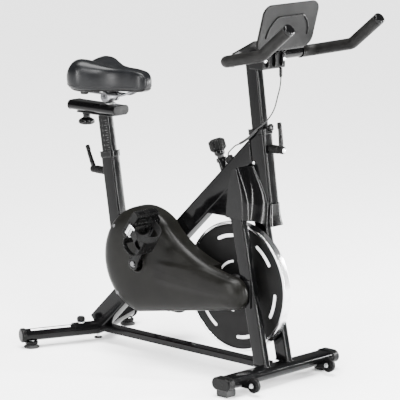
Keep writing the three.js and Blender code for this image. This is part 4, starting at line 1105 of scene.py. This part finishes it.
def make_pedal(side, s):
    """One pedal with its cage, strap and buckle. Local axes: u to its front edge, w up through the shoe."""
    origin = crank_end(s) + Y * (s * 175)
    turn = math.radians(PEDAL_TURN[side])
    u = at(math.cos(turn), 0, -math.sin(turn))
    w = at(math.sin(turn), 0, math.cos(turn))
    body = "pedal_" + side

    def loc(a, b, c):
        return origin + u * a + Y * (s * b) + w * c

    parts = []
    for front in (-1, 1):
        teeth = [(-44, -9)]
        for b in range(-44, 44, 8):
            teeth += [(b + 1.5, -13), (b + 5, -13), (b + 8, -9.5)]
        outline = teeth + [(p[0], -p[1]) for p in reversed(teeth)]
        rings = [[loc(a, b, c) for b, c in outline] for a in (front * 43 - front * 3.4, front * 43)]
        parts.append(bevelled(skin("rail", rings), 0.5, 2))
    for b in (-42.5, 42.5):
        section = rounded(86, 24, 6, 5)
        parts.append(bevelled(skin("end", [[loc(a, b + d, c) for a, c in section] for d in (-3.5, 3.5)]), 1.0,
                              2))
    parts.append(lathe("barrel",
                       [(6.3, -45), (12, -45), (12.5, -40), (9.5, -30), (9.5, 30), (12.5, 40), (12, 46),
                                  (6.3, 46), (6.3, -45)], origin, Y, 48, 1.0))
    for b in (-22, 22):
        parts.append(block("web", loc(0, b, 0), (82, 5, 14), 1.2, (u, Y, w)))
    fit(joined("pedal_body_" + side, parts), body, "plastic", "pedal_" + side, slot="gloss_plastic")
    cap = lathe("pedal_cap_" + side, [(0, 46), (9, 46), (9, 48), (6, 49.4), (0, 49.4)], origin, Y * s, 40,
                0.6)
    fit(cap, body, "gloss")
    for front in (-1, 1):
        parts = [block("reflector", loc(front * 43.6, b, 0), (1.6, 26, 9), 0.5, (u, Y, w)) for b in (-22, 22)]
        fit(joined(f"pedal_reflector_{side}_{(front + 1) // 2}", parts), body, "gloss")
    make_cage(side, body, loc)
    for k, b in enumerate((-22, 22)):
        head_of_screw = [(0, -1), (4, -1), (4, 1.5), (2.6, 2.6), (0, 2.8)]
        screw = lathe(f"cage_screw_{side}_{k}", head_of_screw, loc(56, b, -6.5), -w, 28, 0.3)
        fit(screw, body, "zinc")
    make_strap(side, body, loc)


def make_cage(side, body, loc):
    """The toe cage: two bent strips joined by a cross strip at each end."""
    line = softened([(43.6, -6), (60, -5), (76, -1), (87, 13), (86, 44), (72, 61), (44, 64), (18, 63)], 9,
                    steps=6)
    parts = []
    for low, high, span in ((15, 30, line), (-30, -15, line), (-16, 16, line[:13]), (-16, 16, line[-12:])):
        rings = []
        for k, (a, c) in enumerate(span):
            before, after = span[max(k - 1, 0)], span[min(k + 1, len(span) - 1)]
            run = Vector((after[0] - before[0], after[1] - before[1])).normalized()
            na, nc = -run.y * 1.7, run.x * 1.7
            rings.append([loc(a + na, low, c + nc), loc(a + na, high, c + nc),
                          loc(a - na, high, c - nc), loc(a - na, low, c - nc)])
        parts.append(bevelled(skin("strip", rings, smooth=40), 0.8, 2, 50))
    fit(joined("cage_" + side, parts), body, "plastic", "toe_cage_" + side)


def ribbon(name, points, across, width, thick):
    """A flat band through points, its width along across."""
    rings = []
    path = smooth_path(points, 8)
    for p, d in path:
        n = across.cross(d).normalized()
        a, b = across * (width / 2), n * (thick / 2)
        rings.append([p - a - b, p + a - b, p + a + b, p - a + b])
    return bevelled(skin(name, rings, smooth=50), thick * 0.3, 2, 50)


def make_strap(side, body, loc):
    """The strap round the cage and the pedal, with its loose end."""
    loop = [(46, -4), (48.4, -8), (49.5, 6), (51, 22), (47, 42), (34, 57), (16, 66.5), (0, 68.5), (-16, 66.5),
            (-34, 57), (-47, 42), (-51, 22), (-50, 4), (-47.6, -10), (-36, -14.6), (0, -15.2), (30, -15.2)]
    across = (loc(1, 0, 0) - loc(0, 0, 0)).normalized()
    strap = ribbon("strap_" + side, [loc(6, b, c) for b, c in loop], across, 24, 1.8)
    fit(strap, body, "webbing")
    tail = [(51.5, 8), (54.4, 20), (56, 34), (60, 47), (66, 58)]
    fit(ribbon("strap_tail_" + side, [loc(6, b, c) for b, c in tail], across, 22, 1.6), body, "webbing")
    make_buckle(side, body, loc, across)


def make_buckle(side, body, loc, u):
    """A wire frame with two cheeks, a roller and a lever."""
    out = (loc(0, 1, 0) - loc(0, 0, 0)).normalized()
    up = (loc(0, 0, 1) - loc(0, 0, 0)).normalized()
    outline = softened([(-15, -11), (15, -11), (15, 11), (-15, 11)], 4, True)
    wire = [loc(6 + a, 54.2, 17 + c) for a, c in outline]
    turns = [2 * math.pi * i / 10 for i in range(10)]
    rings = []
    for k, p in enumerate(wire):
        n = out.cross((wire[(k + 1) % len(wire)] - wire[k - 1]).normalized())
        rings.append([p + n * (1.8 * math.cos(t)) + out * (1.8 * math.sin(t)) for t in turns])
    ring = skin("ring", rings, closed=True)
    cheeks = [block("cheek", loc(6 + a, 55, 17), (2, 7, 24), 0.7, (u, out, up)) for a in (-14, 14)]
    roller = lathe("roller", drum(3.6, -14, 14), loc(6, 56, 13), u, 24, 0.5)
    axes = (u, (out - up * 0.16).normalized(), (up + out * 0.16).normalized())
    lever = block("lever", loc(6, 58.4, 22), (22, 1.6, 7), 0.6, axes)
    fit(joined("buckle_" + side, [ring, *cheeks, roller, lever]), body, "zinc")


# ---------------------------------------------------------------- brake
def on_brake(h):
    """The point at height h on the brake rod's axis."""
    return BRAKE_FOOT + BRAKE_UP * h


def make_brake():
    """The sleeve with its rings and boot, the rod with its shoe and felt, and the fluted knob."""
    sleeve = lathe("sleeve", band(8.6, 12, 36, 186), BRAKE_FOOT, BRAKE_UP, 64, 0.8)
    fit(sleeve, "frame", "paint", "brake_sleeve")
    for k, h in enumerate((182, 66)):
        ring = lathe(f"sleeve_ring_{k}", band(11.5, 15.5, h - 6, h + 6),
                     BRAKE_FOOT, BRAKE_UP, 64, 1.2)
        fit(ring, "frame", "paint")
    boot = [(8.6, 186), (11.2, 186), (10, 192), (11.2, 198), (10.4, 204.5), (8.6, 204.5), (8.6, 186)]
    fit(lathe("brake_boot", boot, BRAKE_FOOT, BRAKE_UP, 64, 0.6), "frame", "rubber")
    rod = lathe("rod", [(0, 12), (7.2, 12), (8, 13), (8, 226), (7, 229), (0, 229)], BRAKE_FOOT, BRAKE_UP, 48,
                0.4)
    holder = on_brake(14)
    top = block("plate", holder + Z * 2, (50, 24, 4), 0.8)
    cheeks = [block("cheek", holder + Y * (13.2 * s) - Z * 3.5, (46, 2.2, 13), 0.7) for _, s in SIDES]
    bolts = [hex_bolt("bolt", holder + X * (16 * k) + Z * 4.4, Z, 9, 4.5, 7) for k in (-1, 1)]
    nut = bevelled(lathe("nut", drum(12.4, 20, 27), BRAKE_FOOT, BRAKE_UP, 6), 0.9, 2)
    fit(joined("brake_rod_skin", [rod, top, *cheeks, *bolts, nut]), "brake", "zinc", "brake_rod")
    foot = holder.z - 0.3
    below = [(x, AXLE.z + math.sqrt(198.5 ** 2 - (x - AXLE.x) ** 2)) for x in
             [holder.x - 23 + 46 * k / 24 for k in range(25)]]
    outline = below + [(holder.x + 23, foot), (holder.x - 23, foot)]
    fit(plate("pad", outline, -11, 11, 0.8), "brake", "felt", "brake_pad")
    grip = [(0, 209), (17, 209), (20, 211), (24.4, 215), (25, 219), (25, 238), (23.4, 242), (20, 243),
            (0, 243)]
    knob = lathe("knob", grip, BRAKE_FOOT, BRAKE_UP, 180, 1.2, 9, 3.2)
    fit(knob, "tension_knob", "plastic", "tension_knob")
    top = lathe("knob_top", [(0, 242), (18.6, 242), (19, 244), (16, 246.2), (8, 247), (0, 247.1)], BRAKE_FOOT,
                BRAKE_UP, 96, 1.0)
    fit(top, "tension_knob", "gloss")
    neck = lathe("knob_neck", [(8.6, 196), (13, 196), (15.5, 200), (16.5, 209), (8.6, 209), (8.6, 196)],
                 BRAKE_FOOT, BRAKE_UP, 72, 1.0)
    fit(neck, "tension_knob", "gloss", slot="cover_plastic")


# ---------------------------------------------------------------- collars and levers
def make_collar(name, line, up, top, tube, post, drop, lip):
    """A collar over a tube's mouth, from drop below it to lip above it, with a rim."""
    wall = min((tube[0] + 6 - post[0] - 0.8) / 2, (tube[1] + 6 - post[1] - 0.8) / 2)
    p, q = line(top) - up * drop, line(top) + up * lip
    piece = straight(name + "_skin", p, q, tube[0] + 6, tube[1] + 6, 9, wall, edge=1.6)
    fit(piece, "frame", "gloss", name, slot="cover_plastic")
    ring = straight(name + "_rim", q - up * 2.6, q + up * 0.4, tube[0] + 8, tube[1] + 8, 10, wall + 1,
                    edge=1.2)
    fit(ring, "frame", "gloss", slot="cover_plastic")


def make_lever(name, face, z, toward, end, tip):
    """A clamp lever: a flanged stud, a ribbed hub along X and an arm that rises and tapers."""
    origin, axis = at(face, 0, z), X * toward
    reach = abs(end - face)
    stud = lathe(name + "_stud", drum(6, -1.5, 5), origin, axis, 40)
    fit(stud, name, "zinc")
    hub = [(0, 4), (11, 4), (12.4, 6), (12.4, reach - 22), (10.6, reach - 19), (11.6, reach - 14),
           (11.6, reach - 4), (9, reach), (0, reach)]
    fit(lathe(name + "_hub", hub, origin, axis, 108, 1.0, 18, 0.7), name, "plastic")
    root = at(end - toward * 12, 0, z)
    points = [root, root.lerp(tip, 0.35) + X * (toward * 1.5), root.lerp(tip, 0.75) + X * (toward * 1.5), tip]
    rings = []
    path = smooth_path(points, 8)
    for k, (p, d) in enumerate(path):
        t = k / (len(path) - 1)
        size = 1 - (2 * t - 1) ** 8 * 0.45
        side = Y.cross(d).normalized()
        rings.append(placed(rounded((13 - 3 * t) * size, (14 - 3 * t) * size, 4.5 * size, 5), p, side, Y))
    fit(skin(name + "_arm", rings, smooth=50), name, "gloss", name, slot="cover_plastic")
    up = (tip - root).normalized()
    ribs = [(0, -16)]
    for k in range(4):
        ribs += [(7.2, -16 + 4 * k), (7.2, -14 + 4 * k), (6.2, -13.6 + 4 * k), (6.2, -12.4 + 4 * k)]
    ribs += [(6.2, 0), (4.5, 1.5), (0, 1.8)]
    fit(lathe(name + "_end", ribs, tip, up, 56, 0.4), name, "plastic")
    dome = [(0, -3), (8, -3), (8, 0.5), (5, 2.4), (0, 3)]
    fit(lathe(name + "_cap", dome, at(end, 0, z), axis, 48, 0.8), name, "zinc")


# ---------------------------------------------------------------- seat post, slider, saddle
def make_posts():
    """The seat post with its plate and scale, and the handlebar post."""
    for name, line, up, top, length, depth, width in (
        ("seat_post", seat, SEAT_UP, 716, 330, 42, 27),
        ("handlebar_post", head, HEAD_UP, 936, 318, 44, 28),
    ):
        high = line(top)
        tube = straight(name + "_skin", high - up * length, high, depth, width, 4.5, 2)
        fit(tube, name, "paint", name)
    plate_under = block("slider_plate", at(-425, 0, 718.1), (146, 40, 5.8), 1.5)
    fit(plate_under, "seat_post", "paint")
    make_scale()


def make_scale():
    """Tick marks and numbers down the right side of the seat post."""
    across = Y.cross(SEAT_UP)
    parts = []
    for k in range(14):
        centre = seat(700 - 7.5 * k) - Y * 13.56
        wide = 13 if k % 2 == 0 else 7
        parts.append(block("tick", centre + across * (16 - wide / 2), (wide, 0.16, 1.1), 0,
                           (across, Y, SEAT_UP)))
    fit(joined("scale_ticks", parts), "seat_post", "print")
    for k in range(7):
        curve = bpy.data.curves.new(f"scale_text_{k}", "FONT")
        curve.body = str(k + 1)
        curve.size = 9 * MM
        curve.extrude = 0.08 * MM
        curve.align_x = "CENTER"
        curve.align_y = "CENTER"
        text = bpy.data.objects.new(f"scale_text_{k}", curve)
        bpy.context.scene.collection.objects.link(text)
        mesh = bpy.data.meshes.new_from_object(text.evaluated_get(bpy.context.evaluated_depsgraph_get()))
        bpy.data.objects.remove(text)
        centre = (seat(700 - 15 * k) - Y * 13.58 + across * -5) * MM
        for vertex in mesh.vertices:
            x, y, z = vertex.co
            vertex.co = centre + across * x + SEAT_UP * y - Y * z
        number = bpy.data.objects.new(f"scale_number_{k}", mesh)
        bpy.context.scene.collection.objects.link(number)
        fit(number, "seat_post", "print")


def make_slider():
    """The oval tube under the saddle, its caps, the stem and the knob that clamps it."""
    tube = straight("slider", at(-525, 0, SLIDER_Z), at(-323, 0, SLIDER_Z), 29, 65, 13.8)
    fit(tube, "seat_slider", "paint", "seat_slider")
    for k, (x, d) in enumerate(((-527, 1), (-321, -1))):
        cap = straight(f"slider_cap_{k}", at(x, 0, SLIDER_Z), at(x + d * 5, 0, SLIDER_Z), 30.6, 66.6, 14.6,
                       edge=1.6)
        fit(cap, "seat_slider", "plastic")
        inset = straight(f"slider_cap_face_{k}", at(x - d * 0.5, 0, SLIDER_Z), at(x + d * 2, 0, SLIDER_Z), 22,
                         57, 10.6)
        fit(inset, "seat_slider", "coarse")
    ring = lathe("stem_ring", [(10.4, 0), (17, 0), (17.5, 1.4), (14.5, 4), (12, 5), (10.4, 5), (10.4, 0)],
                 at(STEM_X, 0, 753.2), Z, 72, 0.8)
    fit(ring, "seat_slider", "chrome", slot="zinc")
    stem = lathe("stem", drum(10.5, 748, 766), at(STEM_X, 0, 0), Z, 64)
    fit(stem, "seat_slider", "paint")
    lobes = [(0, 0), (14, 0), (21, 1.6), (25, 5), (25.6, 10), (23.5, 15), (17, 19.5), (12, 22), (0, 22)]
    fit(lathe("slider_knob_lobes", lobes, SLIDER_KNOB, Z, 180, 1.6, 6, 2.8), "slider_knob", "gloss",
        "slider_knob", slot="cover_plastic")
    neck = [(0, 20), (12.4, 20), (11, 23), (11.4, 30), (13, 32), (13, 35), (0, 35)]
    fit(lathe("slider_knob_neck", neck, SLIDER_KNOB, Z, 72, 1.0), "slider_knob", "gloss",
        slot="cover_plastic")
    fit(lathe("slider_knob_stud", drum(5, 34, 46), SLIDER_KNOB, Z, 32), "slider_knob", "zinc")


def make_clamp():
    """The saddle clamp with its nuts, the two rails and the elastomers."""
    barrel = [(0, -27), (12, -27), (13, -26), (13, 26), (12, 27), (0, 27)]
    parts = [lathe("barrel", barrel, CLAMP_AXIS, Y, 72, 0.6)]
    for _, s in SIDES:
        jaw = [(4, 17), (15.6, 17), (16.4, 18), (16.4, 26), (15.4, 27.4), (4, 27.4), (4, 17)]
        parts.append(lathe("jaw", jaw, CLAMP_AXIS, Y * s, 144, 0.6, 24, 0.8))
    fit(joined("clamp_barrel", parts), "saddle", "steel_dark", "seat_clamp")
    for side, s in SIDES:
        nut = hex_bolt("clamp_nut_" + side, CLAMP_AXIS + Y * (s * 27), Y * s, 13, 6, 10, 5)
        fit(nut, "saddle", "steel_dark")
        rail = [at(-474, s * 30, 799), at(-462, s * 27, 791), at(-448, s * 23, 786), at(-420, s * 22, 785),
                at(-369, s * 22, 785),
                at(-320, s * 22, 785), at(-296, s * 20, 788), at(-270, s * 14, 798), at(-256, s * 10, 806)]
        fit(pipe("rail_" + side, smooth_path(rail, 6), 3.5, 24), "saddle", "steel_dark")
        lump = [(0, -1), (11, -1), (13, 3), (12, 9), (13, 13), (11, 17), (0, 17)]
        piece = lathe("elastomer_" + side, lump, at(-444, s * 37, 780), Z, 64, 2.0)
        fit(piece, "saddle", "rubber")


# x, half width, height of the top, height of the underside, depth of the groove.
SADDLE = [(-488, 62, 846, 818, 3), (-478, 80, 866, 802, 6), (-455, 92, 886, 797, 9), (-425, 92, 888, 796, 10),
          (-390, 76, 880, 797, 9), (-350, 53, 872, 801, 8), (-310, 38, 869, 804, 7), (-262, 30, 868, 807, 4),
          (-225, 25, 863, 809, 1), (-208, 17, 852, 816, 0.2), (-202, 8, 842, 825, 0)]


def saddle_half(top, low, groove):
    """Half of the saddle's section, from the centre groove over the lobe and down to the skirt."""
    high = top - low
    keys = [(0.07, top - groove * 1.02), (0.2, top - groove * 0.62), (0.38, top - groove * 0.22), (0.58, top),
            (0.76, top - high * 0.045), (0.9, top - high * 0.16), (0.98, top - high * 0.34),
            (1.0, top - high * 0.55), (0.975, low + high * 0.2), (0.91, low + high * 0.05), (0.8, low)]
    return [tuple(catmull(keys, k * (len(keys) - 1) / 36 * 0.9999)) for k in range(37)]


def make_saddle():
    """The padded cover with its piping, and the moulded shell under it."""
    rings = []
    seam_points = {1: [], -1: []}
    seam_row = 30
    count = 96
    for k in range(count + 1):
        x, half, top, low, groove = catmull(SADDLE, k * (len(SADDLE) - 1) / count * 0.9999)
        line = saddle_half(top, low, max(groove, 0))
        ring = [at(x, 0, top - max(groove, 0) * 1.28)]
        ring += [at(x, -a * half, z) for a, z in line]
        ring += [at(x, 0, low + 1)]
        ring += [at(x, a * half, z) for a, z in reversed(line)]
        rings.append(ring)
        if 3 < k < count - 2:
            for s in (1, -1):
                a, z = line[seam_row]
                seam_points[s].append(at(x, s * (a * half + 0.1), z))
    cover = skin("saddle_cover", rings, smooth=38)
    fit(cover, "saddle", "leather", "saddle")
    for side, s in SIDES:
        points = seam_points[s][::3]
        fit(pipe("saddle_piping_" + side, smooth_path(points, 3), 1.1, 10), "saddle", "leather")
    rings = []
    for k in range(61):
        x, half, top, low, groove = catmull(SADDLE[1:-1], k * 8 / 60 * 0.9999)
        w = half * 0.86
        section = [(-w, low + 3), (-w, low - 1), (-w * 0.9, low - 5), (-w * 0.5, low - 6), (w * 0.5, low - 6),
                   (w * 0.9, low - 5), (w, low - 1), (w, low + 3)]
        rings.append([at(x, a, z) for a, z in softened(section, 3, True, 3)])
    fit(skin("saddle_shell", rings, smooth=50), "saddle", "plastic", "saddle_base")


# ---------------------------------------------------------------- handlebar
def bar_points(s, extra=0.0):
    """One side of the bar from its tip, moved out by extra, to the corner."""
    tip, bend, corner = (at(p.x, s * BAR["half"], p.z) for p in BAR_SIDE)
    return [tip + (tip - bend).normalized() * extra, bend, corner]


def make_handlebar():
    """The bent bar with a foam grip, a gloss cap and a ring on each side."""
    bar = pipe("bar", stations([*bar_points(-1), *reversed(bar_points(1))], BAR["bend"]), BAR["tube"], 40)
    fit(bar, "handlebar_post", "paint", "handlebar")
    for side, s in SIDES:
        path = stations([*bar_points(s, -8), at(BAR_SIDE[2].x, s * 146, BAR_SIDE[2].z)], BAR["bend"], 0.09)
        grip = pipe("grip_skin_" + side, path, BAR["grip"], 48, dome=2.5)
        fit(grip, "handlebar_post", "foam", "grip_" + side)
        tip, bend, _ = bar_points(s)
        out = (tip - bend).normalized()
        cap = [(0, -9), (16.8, -9), (17.3, -7.4), (17.3, -2), (16, 1), (12, 3), (0, 3.6)]
        fit(lathe("grip_cap_" + side, cap, tip, out, 72, 1.6), "handlebar_post", "gloss")
        hoop = band(14.6, 17.9, -1.2, 1.2)
        fit(lathe("grip_ring_" + side, hoop, at(BAR_SIDE[2].x, s * 144.8, BAR_SIDE[2].z), Y, 64, 0.6),
            "handlebar_post", "gloss")


def make_bar_clamp():
    """The moulded clamp on the post, with three ribs and two bolts."""
    outline = softened([(200, 940.5), (247, 940.5), (247, 922), (302, 922), (302, 974), (262, 974),
                        (200, 952)], 5, True, 5)
    fit(plate("clamp_body", outline, -48, 48, 2.5, 4), "handlebar_post", "gloss", "bar_clamp")
    for k, y in enumerate((-30, 0, 30)):
        rib = plate(f"clamp_rib_{k}", softened([(296, 926), (309, 932), (309, 966), (296, 972)], 3, True),
                    y - 3, y + 3, 1.2)
        fit(rib, "handlebar_post", "gloss")
    for k, y in enumerate((-40, 40)):
        bolt = lathe(f"clamp_bolt_{k}",
                     [(0, -1), (5.4, -1), (5.4, 3.4), (4.6, 4.2), (2.6, 4.2), (2.6, 1.6), (0, 1.6)],
                     at(302, y, 948), X, 40, 0.4)
        fit(bolt, "handlebar_post", "zinc")


def make_console():
    """The console's case with its bezel, window and push button."""
    outline = softened([(226, 968), (232, 965), (254, 977), (326.5, 977), (336, 1012), (312, 1012)], 3, True,
                       4)
    case = plate("console_case", outline, -100, 100, 2.2, 4)
    slope = math.atan2(44, 86)
    normal = at(-math.sin(slope), 0, math.cos(slope))
    down = at(math.cos(slope), 0, math.sin(slope))
    centre = at(269, 0, 990)
    room = lathe("room", drum(7.5, -8, 8), centre + Y * 62, normal, 48)
    fit(carved(case, room), "handlebar_post", "plastic", "console")
    frame_piece = block("console_bezel", centre + Y * -14 + normal * 0.2, (52, 112, 2.2), 1.0,
                        (down, Y, normal))
    fit(frame_piece, "handlebar_post", "gloss")
    glass = block("console_window", centre + Y * -14 + normal * 0.8, (40, 98, 1.4), 0.5, (down, Y, normal))
    fit(glass, "handlebar_post", "screen")
    button = [(0, -5), (7, -5), (7, 1.2), (6, 2.4), (0, 2.6)]
    piece = lathe("button", button, centre + Y * 62, normal, 64, 0.5)
    fit(piece, "console_button", "rubber", "console_button")


def make_tablet_holder():
    """The back with its raised arch and clip, the hooks, the tray and the fins under it."""
    up = at(math.sin(TABLET["lean"]), 0, math.cos(TABLET["lean"]))
    out = Y.cross(up).normalized()
    foot, h = TABLET["foot"], TABLET["height"]
    middle = foot + up * (h / 2)

    section = rounded(TABLET["width"], h, 30, 12)
    faces = [placed(section, middle + out * d, Y, up) for d in (-TABLET["half_thick"], TABLET["half_thick"])]
    back = bevelled(skin("tablet_back", faces), 2.2, 4)
    fit(back, "handlebar_post", "matte", "tablet_holder")
    lip = []
    for k in range(41):
        a = math.pi * k / 40
        y, z = 88 * math.cos(a), 38 + 62 * min(1, math.sin(a) * 1.25)
        lip.append(foot + Y * y + up * z + out * 4.2)
    path = [(p, (lip[min(i + 1, 40)] - lip[max(i - 1, 0)]).normalized()) for i, p in enumerate(lip)]
    fit(pipe("tablet_arch", path, 2.6, 14), "handlebar_post", "plastic")
    clip = block("tablet_clip", foot + up * 60 + out * 5, (26, 12, 5), 1.6, (Y, up, out))
    fit(clip, "handlebar_post", "gloss", slot="cover_plastic")
    for side, s in SIDES:
        hook = block("tablet_hook_" + side, foot + up * 12 + Y * (s * 78) - out * 9, (34, 6, 18), 2,
                     (Y, up, out))
        fit(hook, "handlebar_post", "plastic")
    tray = block("tablet_tray", foot + up * 3 - out * 8, (210, 5, 18), 2, (Y, up, out))
    fit(tray, "handlebar_post", "plastic")
    outline = softened([(300, 966), (340, 1002), (343, 1020), (332, 990), (300, 972)], 3, True)
    for k in range(7):
        y = -45 + 15 * k
        fin = plate(f"tablet_fin_{k}", outline, y - 1.6, y + 1.6, 0.7)
        fit(fin, "handlebar_post", "plastic")


# ---------------------------------------------------------------- sensor and its cable
# The cable's route, from the console down.
CABLE = [(300, 30, 921.5), (300, 31, 900), (297, 31, 868), (291, 28, 840), (288, 18, 806), (284, 4, 783),
         (277, -14, 764),
         (261, -27, 746), (240, -28, 726), (214, -27, 708), (187, -20, 695), (160, -11, 684), (138, -5, 669),
         (127, -3, 659), (124, -1, 650)]


def make_sensor():
    """The speed sensor, its cable to the console with a sleeve and a plug, and the head tube's bumper."""
    foot = spine(157) + SPINE_UP * 30
    case = block("sensor_case", foot + SPINE_UP * 10.2, (24, 16, 19.6), 3, (SPINE_ALONG, Y, SPINE_UP), 4)
    fit(case, "frame", "plastic", "speed_sensor")
    path = smooth_path([at(*p) for p in CABLE], 8)
    cable = pipe("cable", path, 2, 14)
    cable.data.materials.append(LOOK["rubber"])
    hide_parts("sensor_cable")
    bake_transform(cable)
    length = sum((b[0] - a[0]).length for a, b in zip(path, path[1:])) * MM
    thick = smooth_path([at(*p) for p in CABLE[7:11]], 8)
    fit(pipe("cable_sleeve", thick, 3.8, 20, dome=2), "frame", "rubber")
    bumper = [(0, -2), (10, -2), (11, 0), (10.5, 5), (8, 8), (0, 9)]
    place = head(745) + HEAD_FRONT * 34 + Y * 6
    fit(lathe("bumper", bumper, place, HEAD_FRONT, 64, 1.4), "frame", "gloss", slot="rubber")
    plug = lathe("plug", [(0, 0), (4.5, 0), (5, 2), (5, 20), (3.6, 26), (2.1, 28), (0, 28)], at(300, 30, 922),
                 -Z, 40, 0.8)
    fit(plug, "handlebar_post", "gloss", slot="cover_plastic")


# ---------------------------------------------------------------- stage
def area_light(name, place, aim, size, power, size_y):
    """A soft panel that faces aim. Metres and watts."""
    light = bpy.data.lights.new(name, "AREA")
    light.energy = power
    light.shape = "RECTANGLE"
    light.size = size
    light.size_y = size_y
    obj = bpy.data.objects.new(name, light)
    obj.location = place
    obj.rotation_euler = (Vector(aim) - Vector(place)).to_track_quat("-Z", "Y").to_euler()
    bpy.context.scene.collection.objects.link(obj)


# Name, place, aim, width, power and height of each panel of the studio.
PANELS = (
    ("key", (0.9, -3.4, 3.0), (0, 0, 0.5), 1.0, 220, 1.0),
    ("strip_front", (3.2, 1.7, 0.9), (0.2, 0, 0.7), 0.2, 480, 2.4),
    ("strip_back", (1.9, 3.05, 0.9), (0.2, 0, 0.7), 0.2, 480, 2.4),
    ("strip_camera", (3.4, -1.2, 0.9), (0.1, 0, 0.7), 0.18, 260, 2.4),
    ("strip_side", (-0.9, -3.5, 0.9), (0, 0, 0.7), 0.18, 200, 2.4),
    ("strip_top", (0.6, -0.4, 3.2), (0, 0, 0.5), 0.35, 180, 2.4),
)


def make_stage():
    """A pale floor under a soft sky, with tall narrow panels for the streaks on the tubes."""
    bpy.ops.mesh.primitive_plane_add(size=60, location=(0, 0, 0))
    floor = bpy.context.object
    floor.name = "floor"
    material, _, _ = nodes_of("floor", (0.86, 0.86, 0.86), 0.6, specular=0.2)
    floor.data.materials.append(material)
    world = bpy.data.worlds.new("studio")
    world.use_nodes = True
    world.node_tree.nodes["Background"].inputs["Color"].default_value = (1, 1, 1, 1)
    world.node_tree.nodes["Background"].inputs["Strength"].default_value = 0.2
    bpy.context.scene.world = world
    sun = bpy.data.lights.new("sky", "SUN")
    sun.energy = 11.0
    sun.angle = math.radians(40)
    sky = bpy.data.objects.new("sky", sun)
    sky.rotation_euler = (math.radians(10), math.radians(-6), 0)
    bpy.context.scene.collection.objects.link(sky)
    for panel in PANELS:
        area_light(*panel)


def make_camera():
    """The camera, aimed at a target from an azimuth right of straight ahead, an elevation and a distance."""
    azimuth, elevation, distance = math.radians(43.53), math.radians(10.73), 7.3649
    back = Vector((math.sin(azimuth) * math.cos(elevation), -math.cos(azimuth) * math.cos(elevation),
                   math.sin(elevation)))
    target = Vector((0.0088, 0, 0.5024))
    data = bpy.data.cameras.new("camera")
    data.lens = 223.1
    data.sensor_width = 36
    data.clip_end = 100
    camera = bpy.data.objects.new("camera", data)
    camera.location = target + back * distance
    camera.rotation_euler = (-back).to_track_quat("-Z", "Y").to_euler()
    bpy.context.scene.collection.objects.link(camera)
    bpy.context.scene.camera = camera


def main():
    """Makes every piece."""
    make_camera()
    make_stage()
    make_sensor()
    make_spine()
    make_cradle()
    make_rear_base()
    make_seat_and_head_tubes()
    make_crown_and_legs()
    make_bottom_bar()
    make_front_base()
    make_hood()
    make_cover()
    make_nose_cap()
    make_drive()
    make_flywheel()
    make_axle()
    make_cranks()
    for side, s in SIDES:
        make_pedal(side, s)
    make_brake()
    make_collar("seat_collar", seat, SEAT_UP, 600, (50, 34), (42, 27), 12, 7)
    make_collar("bar_collar", head, HEAD_UP, 735, (58, 40), (44, 28), 8, 9)
    make_lever("seat_lever", seat(542).x - 25, 542, -1, -452, at(-472, 0, 612))
    make_lever("bar_lever", head(690).x + 29, 690, 1, 342, at(322, 0, 768))
    make_posts()
    make_slider()
    make_clamp()
    make_saddle()
    make_handlebar()
    make_bar_clamp()
    make_console()
    make_tablet_holder()


main()
